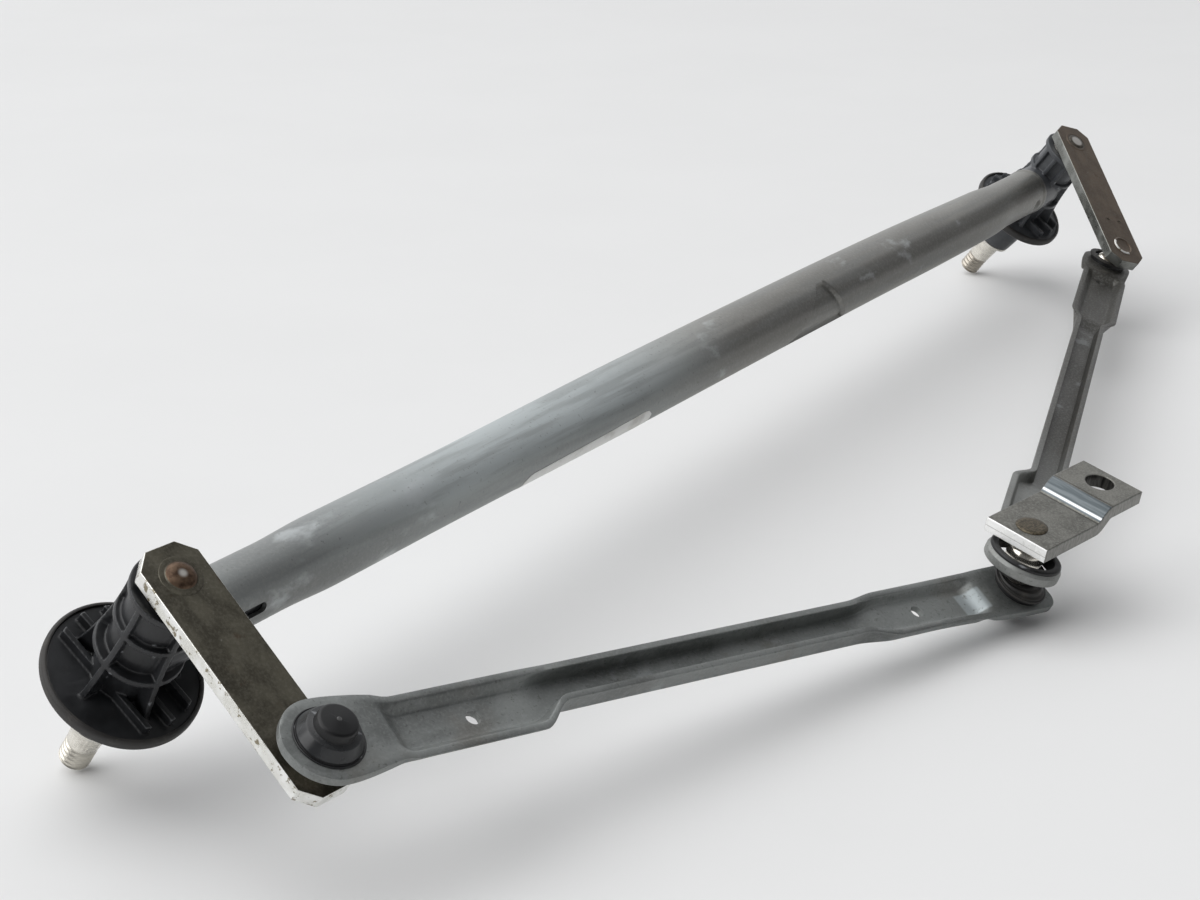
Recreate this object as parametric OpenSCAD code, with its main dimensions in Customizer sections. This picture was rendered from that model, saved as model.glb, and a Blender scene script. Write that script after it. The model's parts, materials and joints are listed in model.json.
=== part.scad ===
// Windscreen wiper linkage, lying upside down on its two spindle ends and its centre joint.
// The origin is the centre of the left spindle's threaded end. X runs along the frame tube.

/* [Layout] */
// Distance between the two spindles along the tube
spindle_spacing = 656; // [560:1:760]
// Roll of the whole linkage about the tube as it lies
lying_roll = 37.8; // [20:0.1:60]
// Lean of both spindles along the tube
spindle_skew = 6.6; // [0:0.1:10]
// Direction of the left lever, seen along its spindle
left_lever_angle = -95.8; // [-110:0.1:-80]
// Direction of the right lever, seen along its spindle
right_lever_angle = -125.5; // [-140:0.1:-110]
// Place of the centre joint along the linkage, from the left lever's ball
joint_along = 267.8; // [230:0.1:300]
// Place of the centre joint across the linkage, from the left lever's ball
joint_across = 86.4; // [60:0.1:110]
// Drop of the centre joint's lower ball below the left lever's ball
joint_drop = 8.9; // [0:0.1:25]
// Lean of the crank's stud from the spindle direction
crank_lean = 26; // [10:0.5:30]
// Direction in which the stud leans
crank_lean_heading = 87; // [70:1:110]
// Turn of the crank about its stud
crank_heading = -96.4; // [-180:0.1:180]

/* [Spindles] */
// Length from the threaded end to the top face of the lever
spindle_length = 95.6; // [85:0.1:120]
// Diameter of the thread at the end
thread_d = 10; // [8:0.1:10.5]
// Length of the thread
thread_length = 10; // [8:0.5:14]
// Station where the taper for the wiper arm ends
taper_end = 20.6; // [18:0.1:21]
// Diameter of the shaft in its bushes
shaft_d = 12; // [11:0.1:13]
// Diameter of the peened head above the lever
peen_d = 10.4; // [8:0.1:12]
// Height of the peened head
peen_h = 1.6; // [0.5:0.1:3]
// Depth of the circlip's groove
groove_depth = 0.6; // [0.3:0.1:1]

/* [Housings] */
// Outside diameter of the bearing boss
boss_d = 24.5; // [22:0.5:28]
// Diameter of the core between the ribs
core_d = 20; // [19:0.1:21]
// Height of the collar at the boss's mouth
collar_h = 2.4; // [1.5:0.1:4]
// Bore for the bushes
bush_bore_d = 15; // [14.5:0.1:17]
// Station where the neck below the flange begins
neck_start = 24; // [23.5:0.1:27]
// Diameter of the neck that enters the cowl
neck_d = 20; // [18.5:0.1:24]
// Diameter of the neck at its tip
neck_tip_d = 18.4; // [17.5:0.1:18.5]
// Length of the taper at the neck's tip
neck_taper = 7; // [3:0.5:10]
// Station of the flange's underside
flange_start = 44.4; // [42:0.1:45]
// Thickness of the flange
flange_t = 2.8; // [2:0.1:4]
// Diameter of the flange
flange_d = 45; // [40:0.5:52]
// Thickness of the moulded ribs
rib_t = 1.8; // [1.2:0.1:3]
// Angle between the flared fins on the side away from the tube
fin_angle = 72; // [60:1:80]
// Angle between the ribs on the side of the tube
rib_angle = 34; // [28:1:40]
// Edge of the flange that the fins leave clear
fin_margin = 6.1; // [4:0.1:8]
// Height of the straight ribs on the flange
low_rib_h = 3.4; // [2:0.1:3.6]
// Spacing of the straight ribs on the flange
low_rib_pitch = 8; // [5:0.5:9]
// Edge of the flange that the straight ribs leave clear
flange_margin = 2; // [1:0.1:4]
// Station of the lower ring rib
ring_rib_1 = 60.2; // [56:0.1:63]
// Station of the upper ring rib
ring_rib_2 = 73.6; // [70:0.1:78]
// Depth of the waist in the flared ribs
flare_waist = 1.9; // [1:0.1:3]

/* [Bushes and seals] */
// Length of each bush
bush_length = 14; // [8:0.5:18]
// Width of the rubber seal ring round the flange
seal_ring_w = 4; // [3:0.1:6]
// Height of the rubber seal ring round the flange
seal_ring_h = 5.4; // [4:0.1:8]
// Height of the shaft seal in the neck
shaft_seal_h = 3; // [2:0.1:5]
// Thickness of the thrust washer and of the retaining washer
washer_t = 1.2; // [0.8:0.1:2]
// Diameter of the washers
washer_d = 18; // [17:0.1:20]
// Thickness of the circlip
circlip_t = 1; // [0.8:0.1:1.5]
// Diameter over the circlip
circlip_d = 15.4; // [14:0.1:17]

/* [Levers] */
// Length of the left lever between centres
left_lever_length = 62.5; // [55:0.5:75]
// Length of the right lever between centres
right_lever_length = 70; // [60:0.5:80]
// Width of both levers
lever_w = 20; // [17:0.5:26]
// Thickness of both levers
lever_t = 5; // [4:0.1:7]
// Lever material beyond each centre
lever_overhang = 10.5; // [9:0.1:14]
// Chamfer across each lever corner
lever_chamfer = 5; // [2:0.1:7]

/* [Ball joints] */
// Diameter of every ball
ball_d = 13; // [11:0.1:13.4]
// Diameter of the neck below each ball
ball_neck_d = 7.6; // [6:0.1:8.4]
// Height of a lever's ball centre above the lever's face
ball_height = 9; // [8.6:0.1:12]
// Diameter of the shank riveted through lever and crank
rivet_d = 8.6; // [6:0.1:9]
// Diameter of the flush rivet head
rivet_head_d = 11; // [9.6:0.1:12]
// Height of the rivet head
rivet_head_h = 0.6; // [0.3:0.1:1.5]
// Bevel round the rivet head
rivet_bevel = 1; // [0.5:0.1:1.5]
// Height of the flare where a stud meets its lever
stud_flare_h = 1; // [0.5:0.1:1.2]
// Diameter of the socket body in its rod
socket_d = 17; // [16.4:0.1:18]
// Diameter of the cap flange on the socket
socket_cap_d = 19.2; // [18.6:0.1:21]
// Height of the cap above the ball centre
socket_cap_h = 9.4; // [8.4:0.1:12]
// Height of the cap's flange
socket_flange_h = 0.8; // [0.5:0.1:3]
// Height of the socket's body above the ball centre
socket_body_h = 5.6; // [4.4:0.1:7]
// Diameter of the dome on the cap
socket_dome_d = 11.6; // [8:0.1:13]
// Half angle of the socket's mouth
mouth_angle = 62; // [58:0.5:66]
// Thickness of the dust seal
dust_seal_t = 1; // [0.8:0.1:1.2]
// Room between the dust seal and the socket's mouth
dust_seal_room = 1.2; // [1:0.1:1.6]

/* [Rods] */
// Roll of the left rod about its own line
left_rod_roll = -8; // [-14:0.5:4]
// Roll of the right rod about its own line
right_rod_roll = 14; // [10:0.5:16]
// Thickness of the rod's sheet steel
rod_t = 2.2; // [1.8:0.1:3]
// Diameter of the pads at the lever ends
pad_d = 28.6; // [26:0.1:32]
// Reach of the left rod's square end beyond the crank's ball
left_end_reach = 12.4; // [11.5:0.1:16]
// Corner radius of the left rod's square end
left_end_r = 5; // [2:0.1:8]
// Diameter of the right rod's pad at the crank
right_inner_pad_d = 28; // [27:0.1:30]
// Extra thickness of the coined pads
pad_boss = 0.6; // [0.4:0.1:2]
// Height of the ring round the right rod's open socket
open_ring_h = 4; // [3:0.1:5]
// Half width of the trays at the ends
tray_half_w = 8.6; // [8:0.1:10]
// Half width of the pressed web in the trays
tray_web_half_w = 5.2; // [3:0.1:6.4]
// Depth of the pressing in the trays
tray_depth = 3; // [2:0.1:5]
// Half width of the trays at the crank
inner_half_w = 7.2; // [6.6:0.1:9]
// Half width of the channel between the trays
mid_half_w = 4.6; // [4:0.1:7]
// Half width of the channel's web
mid_web_half_w = 3.2; // [2.4:0.1:3.8]
// Depth of the channel between the trays
mid_depth = 5.5; // [4:0.1:9]
// Thickness of the channel's walls
wall_t = 2; // [1.6:0.1:3]
// Sideways set of the left rod's outer tray
left_tray_shift = -1.4; // [-3:0.1:3]
// Sideways set of the left rod's channel
left_channel_shift = 2.4; // [-4:0.1:4]
// Sideways set of the left rod's inner tray
left_inner_shift = 1.2; // [-3:0.1:3]
// Sideways set of the right rod's outer tray
right_tray_shift = 0.8; // [-3:0.1:3]
// Sideways set of the right rod's channel
right_channel_shift = 0.4; // [-4:0.1:4]
// Sideways set of the right rod's inner tray
right_inner_shift = -3; // [-4:0.1:3]
// End of the left rod's outer tray
left_tray_end = 66; // [50:0.5:80]
// End of the right rod's outer tray
right_tray_end = 86; // [60:0.5:100]
// Start of the inner trays, counted from the crank end
inner_tray_start = 64; // [50:0.5:80]
// Length of the bend between tray and channel
tray_ramp = 14; // [8:0.5:24]
// Distance from a ball to the start of the pressing
press_start = 17; // [16:0.5:24]
// Length over which the pressing deepens
press_ramp = 9; // [5:0.5:14]
// Diameter of the locating holes
hole_d = 4.6; // [3:0.1:6]
// Distance from a ball to its locating hole
hole_offset = 48; // [36:0.5:54]
// Distance from the right lever's ball to its locating hole
right_hole_offset = 26; // [22:0.5:34]
// Wall of the liner in the right rod's open socket
open_liner_t = 1.8; // [0.8:0.1:2]
// Rise of the liner above its ring
open_liner_rise = 1.3; // [0.5:0.1:1.4]

/* [Crank] */
// Throw between the stud and the motor shaft
crank_throw = 38.5; // [34:0.1:46]
// Width of the crank plate
crank_w = 25; // [20:0.1:30]
// Thickness of the crank plate
crank_t = 5; // [4:0.1:6]
// Height of the step in the crank plate
crank_step = 4.6; // [2:0.1:8]
// Start of the bend, from the stud
crank_bend_start = 21.9; // [18:0.1:24]
// Length of the bend
crank_bend_length = 5; // [4:0.1:8]
// Inner radius of the bends
crank_bend_r = 1.2; // [0.5:0.1:2]
// Plate beyond the stud
crank_tail = 8.6; // [7.5:0.1:12]
// Plate beyond the motor shaft hole
crank_nose = 8; // [7:0.1:12]
// Diameter of the motor shaft hole
shaft_hole_d = 10; // [8:0.1:12]
// Distance between the stud's two balls
ball_pitch = 13.6; // [13.5:0.1:15]
// Height of the upper ball's centre below the crank's top face
ball_below_crank = 12; // [11.8:0.1:14]
// Diameter of the boot between the two balls
boot_d = 16.4; // [12:0.1:16.6]
// Thickness of the boot
boot_t = 0.6; // [0.5:0.05:0.7]
// Rise of the boot towards the crank
boot_rise = 2; // [1.8:0.05:2.2]
// Drop of the boot's foot below the middle between the balls
boot_drop = 0.5; // [0.4:0.05:0.6]

/* [Tube] */
// Station of the tube's line on the spindles
tube_station = 64; // [60:0.5:70]
// Outside diameter of the tube at its swaged ends
tube_end_d = 21.6; // [19:0.1:23]
// Outside diameter of the round tube
tube_d = 23.2; // [21:0.1:25]
// Width of the tube where it is pressed oval
oval_w = 26; // [23:0.1:28]
// Height of the tube where it is pressed oval
oval_h = 20; // [17:0.1:23]
// Wall of the tube
tube_wall = 1.5; // [1:0.1:2]
// Distance from a spindle to the tube's end
tube_gap = 18; // [16:0.5:22]
// Length of the swaged ends
swage_length = 34; // [32:1:40]
// Length over which the swaged ends open out
swage_ramp = 26; // [15:1:40]
// Start of the oval stretch, from the left spindle
oval_start = 190; // [120:1:260]
// End of the oval stretch, from the left spindle
oval_end = 560; // [420:1:590]
// Length over which the tube becomes oval
oval_ramp = 150; // [60:1:200]
// Rise of the bow in the tube
bow_rise = 3; // [0:0.1:6]
// Share of the tube's length over which the bow rises
bow_up_share = 0.55; // [0.3:0.05:0.6]
// Share of the tube's length over which the bow falls
bow_down_share = 0.3; // [0.2:0.05:0.4]
// Length of the spigot inside the tube
spigot_length = 30; // [20:0.5:31]
// Width of the slot in the left end
slot_w = 3.4; // [2:0.1:5]
// Length of the slot in the left end
slot_length = 22; // [12:0.5:26]
// Place of the slot round the tube
slot_angle = 153; // [120:1:180]
// Distance of the crimps from the right end
crimp_offset = 18; // [10:0.5:26]
// Place of the crimp round the tube
crimp_angle = 160; // [120:1:200]
// Width of a crimp
crimp_d = 7; // [4:0.1:9]
// Depth of a crimp
crimp_depth = 0.8; // [0.3:0.1:1]

/* [Clearances] */
// Radial running clearance of a shaft in its bush
shaft_clearance = 0.04; // [0.02:0.01:0.08]
// Radial clearance of a ball in its socket
ball_clearance = 0.05; // [0.02:0.01:0.09]
// Radial clearance of pressed and riveted fits
seat_clearance = 0.03; // [0.01:0.01:0.1]
// Radial clearance of a spigot in the tube
spigot_clearance = 0.2; // [0.1:0.05:0.3]
// Gap between parts that turn against each other
running_gap = 0.3; // [0.2:0.05:0.5]
// Travel of the ball in the open socket
open_travel = 6.8; // [6:0.1:7.2]

/* [Hidden] */

$fn = 64;
lip = 0.01;
ball_r = ball_d / 2;
socket_r = ball_r + ball_clearance;
zinc = [0.56, 0.58, 0.59];
bright = [0.80, 0.79, 0.76];
black = [0.10, 0.10, 0.11];
rubber = [0.16, 0.15, 0.15];
bronze = [0.62, 0.47, 0.30];

// Stations along a spindle, counted from its threaded end
lever_bottom = spindle_length - lever_t;
thrust_bottom = lever_bottom - washer_t;
housing_top = thrust_bottom - running_gap;
retainer_top = neck_start - running_gap;
retainer_bottom = retainer_top - washer_t;
circlip_bottom = retainer_bottom - circlip_t;
flange_top = flange_start + flange_t;

// Ball centres in the linkage frame, whose z axis is the spindle direction
function turned(r, a) = [r * cos(a), r * sin(a)];
right_foot = [spindle_spacing * cos(spindle_skew), 0, -spindle_spacing * sin(spindle_skew)];
left_tip = turned(left_lever_length, left_lever_angle);
right_tip = turned(right_lever_length, right_lever_angle);
left_ball = [left_tip[0], left_tip[1], spindle_length + ball_height];
right_ball = right_foot + [right_tip[0], right_tip[1], lever_bottom - ball_height];
stud_axis = [
    sin(crank_lean) * cos(crank_lean_heading),
    sin(crank_lean) * sin(crank_lean_heading),
    cos(crank_lean)
];

// The rods are as long as the centre joint's place asks
lower_ball = left_ball + [joint_along, -joint_across, -joint_drop];
upper_ball = lower_ball + ball_pitch * stud_axis;
left_rod_length = norm(lower_ball - left_ball);
right_rod_length = norm(upper_ball - right_ball);
crank_top = ball_pitch + ball_below_crank;

// The right rod's open socket is wide enough for the ball to travel in it
open_bore_r = ball_r + open_travel / 2 + running_gap;

function smooth(t) = let (u = min(1, max(0, t))) u * u * (3 - 2 * u);

module linkage_frame() {
    rotate([lying_roll, 0, 0]) rotate([0, -spindle_skew, 0]) children();
}

module left_spindle_frame() {
    linkage_frame() children();
}

module right_spindle_frame() {
    linkage_frame() translate(right_foot) children();
}

module left_rod_frame() {
    linkage_frame() rod_frame(left_ball, lower_ball, left_rod_roll) children();
}

module right_rod_frame() {
    linkage_frame() rod_frame(right_ball, upper_ball, right_rod_roll) children();
}

module rod_frame(from, to, roll) {
    d = to - from;
    translate(from)
        rotate([0, -asin(d[2] / norm(d)), atan2(d[1], d[0])])
        rotate([roll, 0, 0])
        children();
}

module crank_frame() {
    linkage_frame() translate(lower_ball) rotate([0, crank_lean, crank_lean_heading]) children();
}

module tube_frame() {
    rotate([lying_roll, 0, 0])
        translate([-tube_station * sin(spindle_skew), 0, tube_station * cos(spindle_skew)])
        children();
}

module ring(inner_r, outer_r, bottom, height) {
    translate([0, 0, bottom]) difference() {
        cylinder(r = outer_r, h = height);
        translate([0, 0, -lip]) cylinder(r = inner_r, h = height + 2 * lip);
    }
}

// Frame tube: a loft of round sections at the swaged ends and oval ones between
tube_sides = 32;
tube_rings = 30;
// Crowding of the sections towards the swaged ends
end_bias = 0.55;
tube_start = tube_gap;
tube_length = spindle_spacing - 2 * tube_gap;
function ring_x(i) =
    let (t = i / (tube_rings - 1))
    tube_start + tube_length * (t - end_bias * sin(360 * t) / (2 * PI));
function opened(x) =
    let (d = min(x - tube_start, tube_start + tube_length - x))
    smooth((d - swage_length) / swage_ramp);
function ovalness(x) = smooth((x - oval_start) / oval_ramp + 0.5) * smooth((oval_end - x) / oval_ramp + 0.5);
function tube_r(x) = (tube_end_d + (tube_d - tube_end_d) * opened(x)) / 2;
function half_w(x) = tube_r(x) + (oval_w / 2 - tube_r(x)) * ovalness(x) * opened(x);
function half_h(x) = tube_r(x) + (oval_h / 2 - tube_r(x)) * ovalness(x) * opened(x);
function bow(x) =
    bow_rise * smooth((x - tube_start - swage_length) / (tube_length * bow_up_share))
    * smooth((tube_start + tube_length - swage_length - x) / (tube_length * bow_down_share));
function tube_ring(x, inset) = [
    for (k = [0 : tube_sides - 1])
    let (a = 360 * k / tube_sides)
    [x, (half_w(x) - inset) * cos(a), (half_h(x) - inset) * sin(a) + bow(x)]
];
function skin(rings, sides, base, flip) = [
    for (i = [0 : rings - 2], k = [0 : sides - 1])
    let (a = base + i * sides + k, b = base + i * sides + (k + 1) % sides, c = b + sides, d = a + sides)
    each flip ? [[a, b, c], [a, c, d]] : [[a, c, b], [a, d, c]]
];
function rim(outer, inner, sides, flip) = [
    for (k = [0 : sides - 1])
    let (a = outer + k, b = outer + (k + 1) % sides, c = inner + (k + 1) % sides, d = inner + k)
    each flip ? [[a, b, c], [a, c, d]] : [[a, c, b], [a, d, c]]
];

module tube_shell() {
    count = tube_sides * tube_rings;
    outer = [for (i = [0 : tube_rings - 1]) each tube_ring(ring_x(i), 0)];
    inner = [for (i = [0 : tube_rings - 1]) each tube_ring(ring_x(i), tube_wall)];
    faces = concat(
        skin(tube_rings, tube_sides, 0, true),
        skin(tube_rings, tube_sides, count, false),
        rim(0, count, tube_sides, false),
        rim(count - tube_sides, 2 * count - tube_sides, tube_sides, true)
    );
    polyhedron(concat(outer, inner), faces);
}

// Radius of the round punch that makes a crimp
crimp_r = (crimp_d * crimp_d / 4 + crimp_depth * crimp_depth) / (2 * crimp_depth);

module frame_tube() {
    straight = slot_length - slot_w / 2;
    color(zinc) tube_frame() difference() {
        tube_shell();
        rotate([slot_angle, 0, 0]) translate([tube_start, 0, 0]) {
            translate([-lip, 0, -slot_w / 2]) cube([straight + lip, tube_d, slot_w]);
            translate([straight, 0, 0]) rotate([-90, 0, 0]) cylinder(d = slot_w, h = tube_d);
        }
        for (a = [crimp_angle, crimp_angle + 180])
            rotate([a, 0, 0])
                translate([tube_start + tube_length - crimp_offset, 0, 0])
                translate([0, tube_end_d / 2 + crimp_r - crimp_depth, 0])
                sphere(r = crimp_r);
    }
}

// Pivot housing: boss, flange, neck and spigot, braced by flared ribs
flare_steps = 10;
function flare_r(z) =
    let (
        t = (z - flange_top) / (housing_top - flange_top),
        top_r = boss_d / 2,
        foot_r = flange_d / 2 - fin_margin
    )
    foot_r + (top_r - foot_r) * t - flare_waist * 4 * t * (1 - t);

module flare() {
    rotate_extrude() polygon(concat(
        [[0, flange_start]],
        [for (i = [0 : flare_steps])
            let (z = flange_top + (housing_top - flange_top) * i / flare_steps) [flare_r(z), z]],
        [[0, housing_top]]
    ));
}

module rib_plates(side) {
    height = housing_top - flange_start;
    fins = [180 - fin_angle, 180, 180 + fin_angle];
    ribs = [-rib_angle, 0, rib_angle];
    for (a = concat(fins, ribs))
        rotate([0, 0, side > 0 ? a : a + 180])
            translate([0, -rib_t / 2, flange_start])
            cube([flange_d / 2, rib_t, height]);
    for (z = [ring_rib_1, ring_rib_2])
        translate([0, 0, z]) cylinder(d = flange_d, h = rib_t);
    translate([0, 0, housing_top - collar_h]) cylinder(d = flange_d, h = collar_h);
}

module low_ribs() {
    intersection() {
        for (row = [-1 : 1])
            translate([row * low_rib_pitch - rib_t / 2, -flange_d / 2, flange_start])
                cube([rib_t, flange_d, flange_t + low_rib_h]);
        translate([0, 0, flange_start]) cylinder(r = flange_d / 2 - flange_margin, h = flange_t + low_rib_h);
    }
}

module spigot() {
    cylinder(d = tube_end_d, h = tube_gap - running_gap);
    difference() {
        cylinder(r = tube_end_d / 2 - tube_wall - spigot_clearance, h = tube_gap + spigot_length);
        translate([0, 0, tube_gap])
            cylinder(r = tube_end_d / 2 - 2 * tube_wall - spigot_clearance - rib_t, h = spigot_length + lip);
    }
}

module towards_tube(side) {
    translate([0, 0, tube_station]) rotate([0, side * 90 + spindle_skew, 0]) children();
}

module housing(side) {
    color(black) difference() {
        union() {
            translate([0, 0, flange_start]) cylinder(d = core_d, h = housing_top - flange_start);
            translate([0, 0, flange_start]) cylinder(d = flange_d, h = flange_t);
            translate([0, 0, neck_start + neck_taper])
                cylinder(d = neck_d, h = flange_start - neck_start - neck_taper);
            translate([0, 0, neck_start]) cylinder(d1 = neck_tip_d, d2 = neck_d, h = neck_taper);
            difference() {
                union() {
                    intersection() {
                        flare();
                        rib_plates(side);
                    }
                    low_ribs();
                }
                towards_tube(side) translate([0, 0, tube_gap - running_gap])
                    cylinder(d = tube_end_d + 2 * running_gap, h = spigot_length);
            }
            towards_tube(side) spigot();
        }
        translate([0, 0, neck_start - lip]) cylinder(d = bush_bore_d, h = housing_top - neck_start + 2 * lip);
    }
}

module flange_seal() {
    inner_r = flange_d / 2 - seal_ring_w / 2;
    outer_r = inner_r + seal_ring_w;
    bottom = flange_start + flange_t / 2 - seal_ring_h / 2;
    edge_r = seal_ring_w / 3;
    color(rubber) rotate_extrude() difference() {
        union() {
            translate([inner_r, bottom]) square([seal_ring_w - edge_r, seal_ring_h]);
            translate([inner_r, bottom + edge_r]) square([seal_ring_w, seal_ring_h - 2 * edge_r]);
            for (z = [bottom + edge_r, bottom + seal_ring_h - edge_r])
                translate([outer_r - edge_r, z]) circle(r = edge_r, $fn = 32);
        }
        translate([inner_r - lip, flange_start - seat_clearance])
            square([flange_d / 2 - inner_r + seat_clearance + lip, flange_t + 2 * seat_clearance]);
        translate([inner_r - lip, flange_start])
            square([rib_t, seal_ring_h]);
    }
}

module bush(bottom) {
    color(bronze)
        ring(shaft_d / 2 + shaft_clearance, bush_bore_d / 2 - seat_clearance, bottom, bush_length);
}

module upper_bush() {
    bush(housing_top - bush_length);
}

module lower_bush() {
    bush(neck_start + shaft_seal_h + running_gap);
}

module shaft_seal() {
    color(rubber)
        ring(shaft_d / 2 + 2 * shaft_clearance, bush_bore_d / 2 - seat_clearance, neck_start, shaft_seal_h);
}

// Spindle: thread, taper and shaft in one turned piece, peened over the lever
peen_steps = 6;
module spindle() {
    peen_r = peen_d / 2;
    shank_r = rivet_d / 2;
    color(bright) rotate_extrude() polygon(concat([
        [0, 0],
        [thread_d / 2, 0],
        [thread_d / 2, thread_length],
        [shaft_d / 2, taper_end],
        [shaft_d / 2, circlip_bottom],
        [shaft_d / 2 - groove_depth, circlip_bottom],
        [shaft_d / 2 - groove_depth, retainer_bottom],
        [shaft_d / 2, retainer_bottom],
        [shaft_d / 2, lever_bottom],
        [shank_r, lever_bottom],
        [shank_r, spindle_length]
    ], [
        for (i = [0 : peen_steps])
        let (a = 90 * i / peen_steps)
        [peen_r * cos(a), spindle_length + peen_h * sin(a)]
    ]));
}

module thrust_washer() {
    color(bright) ring(shaft_d / 2 + seat_clearance, washer_d / 2, thrust_bottom, washer_t);
}

module retaining_washer() {
    color(bright) ring(shaft_d / 2 + seat_clearance, washer_d / 2, retainer_bottom, washer_t);
}

module circlip() {
    inner_r = shaft_d / 2 - groove_depth + seat_clearance;
    gap = shaft_d / 3;
    color(zinc) difference() {
        ring(inner_r, circlip_d / 2, circlip_bottom, circlip_t);
        translate([0, -gap / 2, circlip_bottom - lip]) cube([circlip_d, gap, circlip_t + 2 * lip]);
    }
}

module lever(length) {
    c = lever_chamfer;
    h = lever_w / 2;
    near = -lever_overhang;
    far = length + lever_overhang;
    color(zinc) translate([0, 0, lever_bottom]) difference() {
        linear_extrude(lever_t) polygon([
            [near, h - c], [near + c, h], [far - c, h], [far, h - c],
            [far, c - h], [far - c, -h], [near + c, -h], [near, c - h]
        ]);
        for (x = [0, length])
            translate([x, 0, -lip]) cylinder(d = rivet_d + 2 * seat_clearance, h = lever_t + 2 * lip);
    }
}

// Ball stud: the ball's centre is the origin and the lever lies below it
module ball_stud() {
    face = -ball_height;
    back = face - lever_t;
    color(bright) union() {
        sphere(d = ball_d);
        translate([0, 0, face]) cylinder(d = ball_neck_d, h = ball_height);
        translate([0, 0, face]) cylinder(d1 = rivet_head_d, d2 = ball_neck_d, h = stud_flare_h);
        translate([0, 0, back]) cylinder(d = rivet_d, h = lever_t);
        translate([0, 0, back - rivet_head_h])
            cylinder(d1 = rivet_head_d - 2 * rivet_bevel, d2 = rivet_head_d, h = rivet_head_h);
    }
}

// Socket: a snap-in cup round the ball, with its mouth downwards and a stepped cap above
module socket() {
    seat = rod_t / 2 + pad_boss / 2;
    cap_r = socket_cap_d / 2;
    body_r = socket_d / 2 - seat_clearance;
    dome_r = socket_dome_d / 2;
    mouth_r = socket_r * sin(mouth_angle);
    mouth_z = -socket_r * cos(mouth_angle);
    color(black) rotate_extrude() difference() {
        union() {
            translate([0, mouth_z]) square([body_r, socket_body_h - mouth_z]);
            translate([0, seat]) square([cap_r, socket_flange_h]);
            translate([0, seat]) square([dome_r, socket_cap_h - seat]);
        }
        translate([-cap_r, mouth_z - lip]) square([cap_r, 2 * socket_cap_h]);
        intersection() {
            circle(r = socket_r);
            translate([0, -socket_r]) square([socket_r, 2 * socket_r]);
        }
        translate([0, mouth_z - lip]) square([mouth_r, lip - mouth_z]);
    }
}

module dust_seal() {
    mouth_z = -socket_r * cos(mouth_angle);
    color(rubber) ring(
        socket_r * sin(mouth_angle) + dust_seal_room, socket_cap_d / 2, mouth_z - dust_seal_t, dust_seal_t
    );
}

// Rod: a pressed channel lofted between flat pads
rod_step = 6;
function pressing(x, length) =
    smooth((x - press_start) / press_ramp) * smooth((length - x - press_start) / press_ramp);
function rod_section(x, length, tray_end, shifts) =
    let (
        begun = smooth((x - tray_end) / tray_ramp),
        ended = 1 - smooth((length - x - inner_tray_start) / tray_ramp),
        m = begun * (1 - ended),
        p = pressing(x, length),
        edge = tray_half_w + p * ((mid_half_w - tray_half_w) * begun + (inner_half_w - mid_half_w) * ended),
        web = edge - (edge - tray_web_half_w - (mid_web_half_w - tray_web_half_w) * m) * p,
        depth = (tray_depth + (mid_depth - tray_depth) * m) * p,
        set = p * (shifts[0] + (shifts[1] - shifts[0]) * begun + (shifts[2] - shifts[1]) * ended),
        top = rod_t / 2
    )
    [
        [x, set - edge, top], [x, set - web, top - depth], [x, set + web, top - depth], [x, set + edge, top],
        [x, set + edge + wall_t, top - rod_t * (1 - p)], [x, set + web + wall_t, top - depth - rod_t],
        [x, set - web - wall_t, top - depth - rod_t], [x, set - edge - wall_t, top - rod_t * (1 - p)]
    ];

module rod_channel(length, tray_end, shifts) {
    sides = 8;
    reach = length - 2 * rod_step;
    steps = round(reach / rod_step);
    points = [for (i = [0 : steps]) each rod_section(rod_step + reach * i / steps, length, tray_end, shifts)];
    last = steps * sides;
    faces = concat(
        skin(steps + 1, sides, 0, true),
        [[7, 0, 1], [7, 1, 6], [6, 1, 2], [6, 2, 5], [5, 2, 3], [5, 3, 4]],
        [for (f = [[7, 1, 0], [7, 6, 1], [6, 2, 1], [6, 5, 2], [5, 3, 2], [5, 4, 3]]) f + [last, last, last]]
    );
    polyhedron(points, faces);
}

module rod_holes(length, outer_offset, outer_shift, inner_shift) {
    for (at = [[outer_offset, outer_shift], [length - hole_offset, inner_shift]])
        translate([at[0], at[1], -2 * mid_depth]) cylinder(d = hole_d, h = 3 * mid_depth);
}

module pad(d, h) {
    translate([0, 0, -h / 2]) cylinder(d = d, h = h);
}

// Flat end round the ball, with two round corners beyond it
module square_end(h) {
    w = 2 * (tray_half_w + wall_t);
    translate([0, 0, -h / 2]) linear_extrude(h) {
        translate([-left_end_reach, -w / 2]) square([2 * left_end_reach - left_end_r, w]);
        translate([0, left_end_r - w / 2]) square([left_end_reach, w - 2 * left_end_r]);
        for (side = [-1, 1])
            translate([left_end_reach - left_end_r, side * (w / 2 - left_end_r)]) circle(r = left_end_r);
    }
}

module left_rod() {
    pad_t = rod_t + pad_boss;
    shifts = [left_tray_shift, left_channel_shift, left_inner_shift];
    color(zinc) left_rod_frame() difference() {
        union() {
            rod_channel(left_rod_length, left_tray_end, shifts);
            pad(pad_d, pad_t);
            translate([left_rod_length, 0, 0]) square_end(pad_t);
        }
        for (x = [0, left_rod_length])
            translate([x, 0, 0]) pad(socket_d, 4 * pad_t);
        rod_holes(left_rod_length, hole_offset, left_tray_shift, left_inner_shift);
    }
}

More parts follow.
